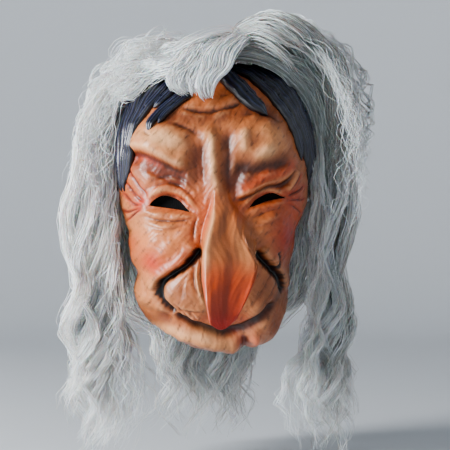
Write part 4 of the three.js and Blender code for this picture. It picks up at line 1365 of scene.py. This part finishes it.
def plate(front, back):
    """The points and faces of a thin closed sheet between two grids."""
    rows, columns = front.shape[:2]
    i, j = np.arange(rows - 1), np.arange(columns - 1)
    edge = np.concatenate([i * columns, (rows - 1) * columns + j, (rows - 1 - i) * columns + columns - 1,
                           columns - 1 - j])
    onward = np.roll(edge, -1)
    n = rows * columns
    sides = np.vstack([np.stack([onward, edge, edge + n], 1), np.stack([onward, edge + n, onward + n], 1)])
    points = np.vstack([front.reshape(-1, 3), back.reshape(-1, 3)])
    return points, np.vstack([grid_faces(rows, columns), grid_faces(rows, columns, n, flip=True), sides])


def add_gauze(name, node, middle, half, material):
    """A screen glued behind an eye hole, clear of the deepest folds of the skin before it."""
    across, up = np.meshgrid(np.linspace(-1, 1, 19), np.linspace(-1, 1, 15), indexing="ij")
    x, z = middle[0] + half[0] * across, middle[1] + half[1] * up
    front = on_head(np.stack([x, np.full_like(x, -FRONT * 0.93), z - CENTRE_Z], -1), -1.0)
    low = np.full(x.shape, 1e9)
    for dx in (-4, -2, 0, 2, 4):
        for dz in (-4, -2, 0, 2, 4):
            low = np.minimum(low, sculpt(front[..., 0] + dx, front[..., 2] + dz)[0])
    front = front + outwards(front) * (blurred(low, 2) - 3.4)[..., None]
    piece = make_mesh(name, *plate(front, front - outwards(front) * 0.4))
    put(piece, material, "mask", node)


CAP_FRONT, CAP_NAPE, CAP_REACH, CAP_LOW = 100.6, 203.4, 71, 1.8
NET_CORD = 0.8
TAPE_LOW, PUCKER = 3.2, 0.12
WEFT_COUNT, WEFT_FIRST, WEFT_STEP, WEFT_HALF, WEFT_REACH = 5, 118, 18, 1.2, 62


def over_crown(over, sideways):
    """Directions over the cap: 90 is straight up and 180 straight back, then from ear to ear."""
    o, s = np.radians(over), np.radians(sideways)
    return np.stack([np.sin(s), -np.cos(s) * np.cos(o), np.cos(s) * np.sin(o)], axis=-1)


def crown_strip(name, node, material, first, last, reach, thick):
    """A tape sewn over the cap from ear to ear, a little puckered by its stitches."""
    over, side = np.meshgrid(np.linspace(first, last, 6), np.linspace(-reach, reach, 110), indexing="ij")
    pucker = PUCKER * np.sin(side * 3.1) * np.sin(np.pi * (over - first) / (last - first))
    direction = over_crown(over, side)
    top, under = on_head(direction, TAPE_LOW + thick), on_head(direction, TAPE_LOW)
    top = top + outwards(top) * pucker[..., None]
    piece = make_mesh(name, *plate(under, top))
    put(piece, material, "mask", node)


def add_net_cap(material):
    """An open net of crossed cords in diamonds."""
    rows, columns = 46, 74
    over, side = np.meshgrid(np.linspace(CAP_FRONT, CAP_NAPE, rows),
                             np.linspace(-CAP_REACH, CAP_REACH, columns), indexing="ij")
    points = on_head(over_crown(over, side), CAP_LOW).reshape(-1, 3)
    faces = []
    for i in range(rows - 2):
        for j in range(1 + i % 2, columns - 1, 2):
            middle = i * columns + j
            faces.append((middle, middle + columns - 1, middle + 2 * columns, middle + columns + 1))
    cap = make_mesh("net_cap", points, np.array(faces))
    modifier = cap.modifiers.new("cords", "WIREFRAME")
    modifier.thickness, modifier.use_even_offset = NET_CORD * MM, False
    bpy.context.view_layer.objects.active = cap
    bpy.ops.object.modifier_apply(modifier=modifier.name)
    put(cap, material, "mask", "wig_cap")


STRAP_Z, STRAP_HIGH, STRAP_THICK, STRAP_SIDE, STRAP_BACK = 15, 18, 1.2, 84.6, 90
STRAP_STRAIGHT, STRAP_CORNER_Y, STRAP_END = 44, 32, 9


def strap_path():
    """The strap's middle line, seen from above, from the right rivet round the back to the left one."""
    t = np.linspace(0, 1, 30)[:, None]
    start, end = np.array([-STRAP_SIDE, STRAP_CORNER_Y]), np.array([-STRAP_STRAIGHT, STRAP_BACK])
    pull_1, pull_2 = np.array([-STRAP_SIDE, STRAP_BACK - 22.0]), np.array([-66.0, STRAP_BACK])
    bend = (1 - t) ** 3 * start + 3 * (1 - t) ** 2 * t * pull_1 + 3 * (1 - t) * t**2 * pull_2 + t**3 * end
    straight = np.stack([np.full(14, -STRAP_SIDE), np.linspace(-STRAP_END, STRAP_CORNER_Y, 14)], 1)[:-1]
    back = np.stack([np.linspace(-STRAP_STRAIGHT, 0, 16), np.full(16, STRAP_BACK)], 1)[1:]
    half = np.vstack([straight, bend, back])
    return np.vstack([half, (half * [-1, 1])[-2::-1]])


def add_strap(material):
    path = strap_path()
    run = np.concatenate([[0], np.cumsum(np.linalg.norm(np.diff(path, axis=0), axis=1))])
    along = unit(np.gradient(path, axis=0))
    out = np.stack([-along[:, 1], along[:, 0]], 1)
    up = np.linspace(-1, 1, 41)
    cords = 0.08 * np.cos(up * np.pi * 11)
    edge = np.sqrt(np.clip(1 - np.abs(up) ** 14, 0.05, 1))
    layers = []
    for way in (1, -1):
        lift = way * (STRAP_THICK / 2 * edge - 0.1 + cords)
        flat = path[:, None] + out[:, None] * lift[None, :, None]
        z = np.broadcast_to(STRAP_Z + up * STRAP_HIGH / 2 * 0.995, flat.shape[:2])
        layers.append(np.concatenate([flat, z[..., None]], axis=2))
    points, faces = plate(layers[0], layers[1])
    length = np.tile(np.repeat(run, len(up)), 2)
    height = np.tile(np.tile(up * STRAP_HIGH / 2, len(path)), 2)
    strap = make_mesh("knitted_strap", points, faces, values={"run": length, "high": height})
    put(strap, material, "strap", "elastic_strap")


def elastic_material():
    """Black knitted elastic: lengthwise cords crossed by fine rows."""
    n = Nodes("knitted_elastic")
    run = n.attribute("run").outputs["Fac"]
    high = n.attribute("high").outputs["Fac"]
    vector = n.add("ShaderNodeCombineXYZ")
    n.join(run, vector.inputs["X"])
    n.join(high, vector.inputs["Y"])
    rows = n.add("ShaderNodeTexWave", wave_type="BANDS", bands_direction="X", Scale=0.32, Distortion=0.6)
    cords = n.add("ShaderNodeTexWave", wave_type="BANDS", bands_direction="Y", Scale=0.19)
    n.join(vector.outputs["Vector"], rows.inputs["Vector"])
    n.join(vector.outputs["Vector"], cords.inputs["Vector"])
    knit = n.mix(0.5, rows.outputs["Fac"], cords.outputs["Fac"])
    fuzz = n.ramp(n.noise(400, 3), [(0.35, (0.7, 0.7, 0.7)), (0.65, (1.2, 1.2, 1.2))])
    n.paint(n.mix(1.0, n.mix(knit, (0.008, 0.008, 0.009), (0.05, 0.05, 0.054)), fuzz, "MULTIPLY"))
    n.join(n.bump(knit, 0.6, 0.0005), n.shader.inputs["Normal"])
    n.set(Roughness=0.85)
    return n.material


def dress(node, material):
    """Give a node that keeps its CAD shape its look."""
    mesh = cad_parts[node].data
    mesh.materials.clear()
    mesh.materials.append(material)


def patch_material():
    n = Nodes("cast_latex_patch")
    n.paint(n.ramp(n.noise(90, 5), [(0.3, srgb(186, 132, 92)), (0.7, srgb(214, 164, 122))]))
    n.join(n.bump(n.noise(300, 4), 0.4, 0.0008), n.shader.inputs["Normal"])
    n.roughness(120, 3, 0.45, 0.65)
    return n.material


gauze = woven("black_gauze_cloth", (0.002, 0.002, 0.0025), 0.9, 0.8)
gauze.node_tree.nodes["Principled BSDF"].inputs["Specular IOR Level"].default_value = 0.1
add_gauze("gauze_right", "eye_screen_right", (-50, -2), (33, 19), gauze)
add_gauze("gauze_left", "eye_screen_left", (48, 0), (31, 18), gauze)
add_net_cap(woven("cap_net_cord", (0.74, 0.72, 0.66), 0.7, 0.3))
tape = woven("cotton_tape_weave", (0.66, 0.62, 0.54), 0.8, 0.4)
crown_strip("front_tape", "cap_front_band", tape, 100, 104.2, CAP_REACH, 1.0)
crown_strip("nape_tape", "cap_nape_band", tape, 199.8, 204, 60, 1.0)
for k in range(WEFT_COUNT):
    middle = WEFT_FIRST + WEFT_STEP * k
    crown_strip(f"weft_tape_{k + 1}", f"hair_weft_{k + 1}", tape, middle - WEFT_HALF, middle + WEFT_HALF,
                WEFT_REACH, 1.3)
add_strap(elastic_material())
dress("strap_slider", plastic_material())
nickel, patch = metal_material(), patch_material()
for side in ("left", "right"):
    dress(f"strap_rivet_{side}", nickel)
    dress(f"strap_patch_{side}", patch)


# ---------- the studio ----------

add_stage()
add_light("window", (-1.85, -0.75, 0.5), (0, 0, -0.02), 0.8, 118, (0.97, 0.98, 1.0))
add_light("room", (1.5, -1.9, 0.4), (0, 0, 0), 1.6, 2.5, (1.0, 0.97, 0.93))
add_world((0.88, 0.91, 0.94), 0.12)
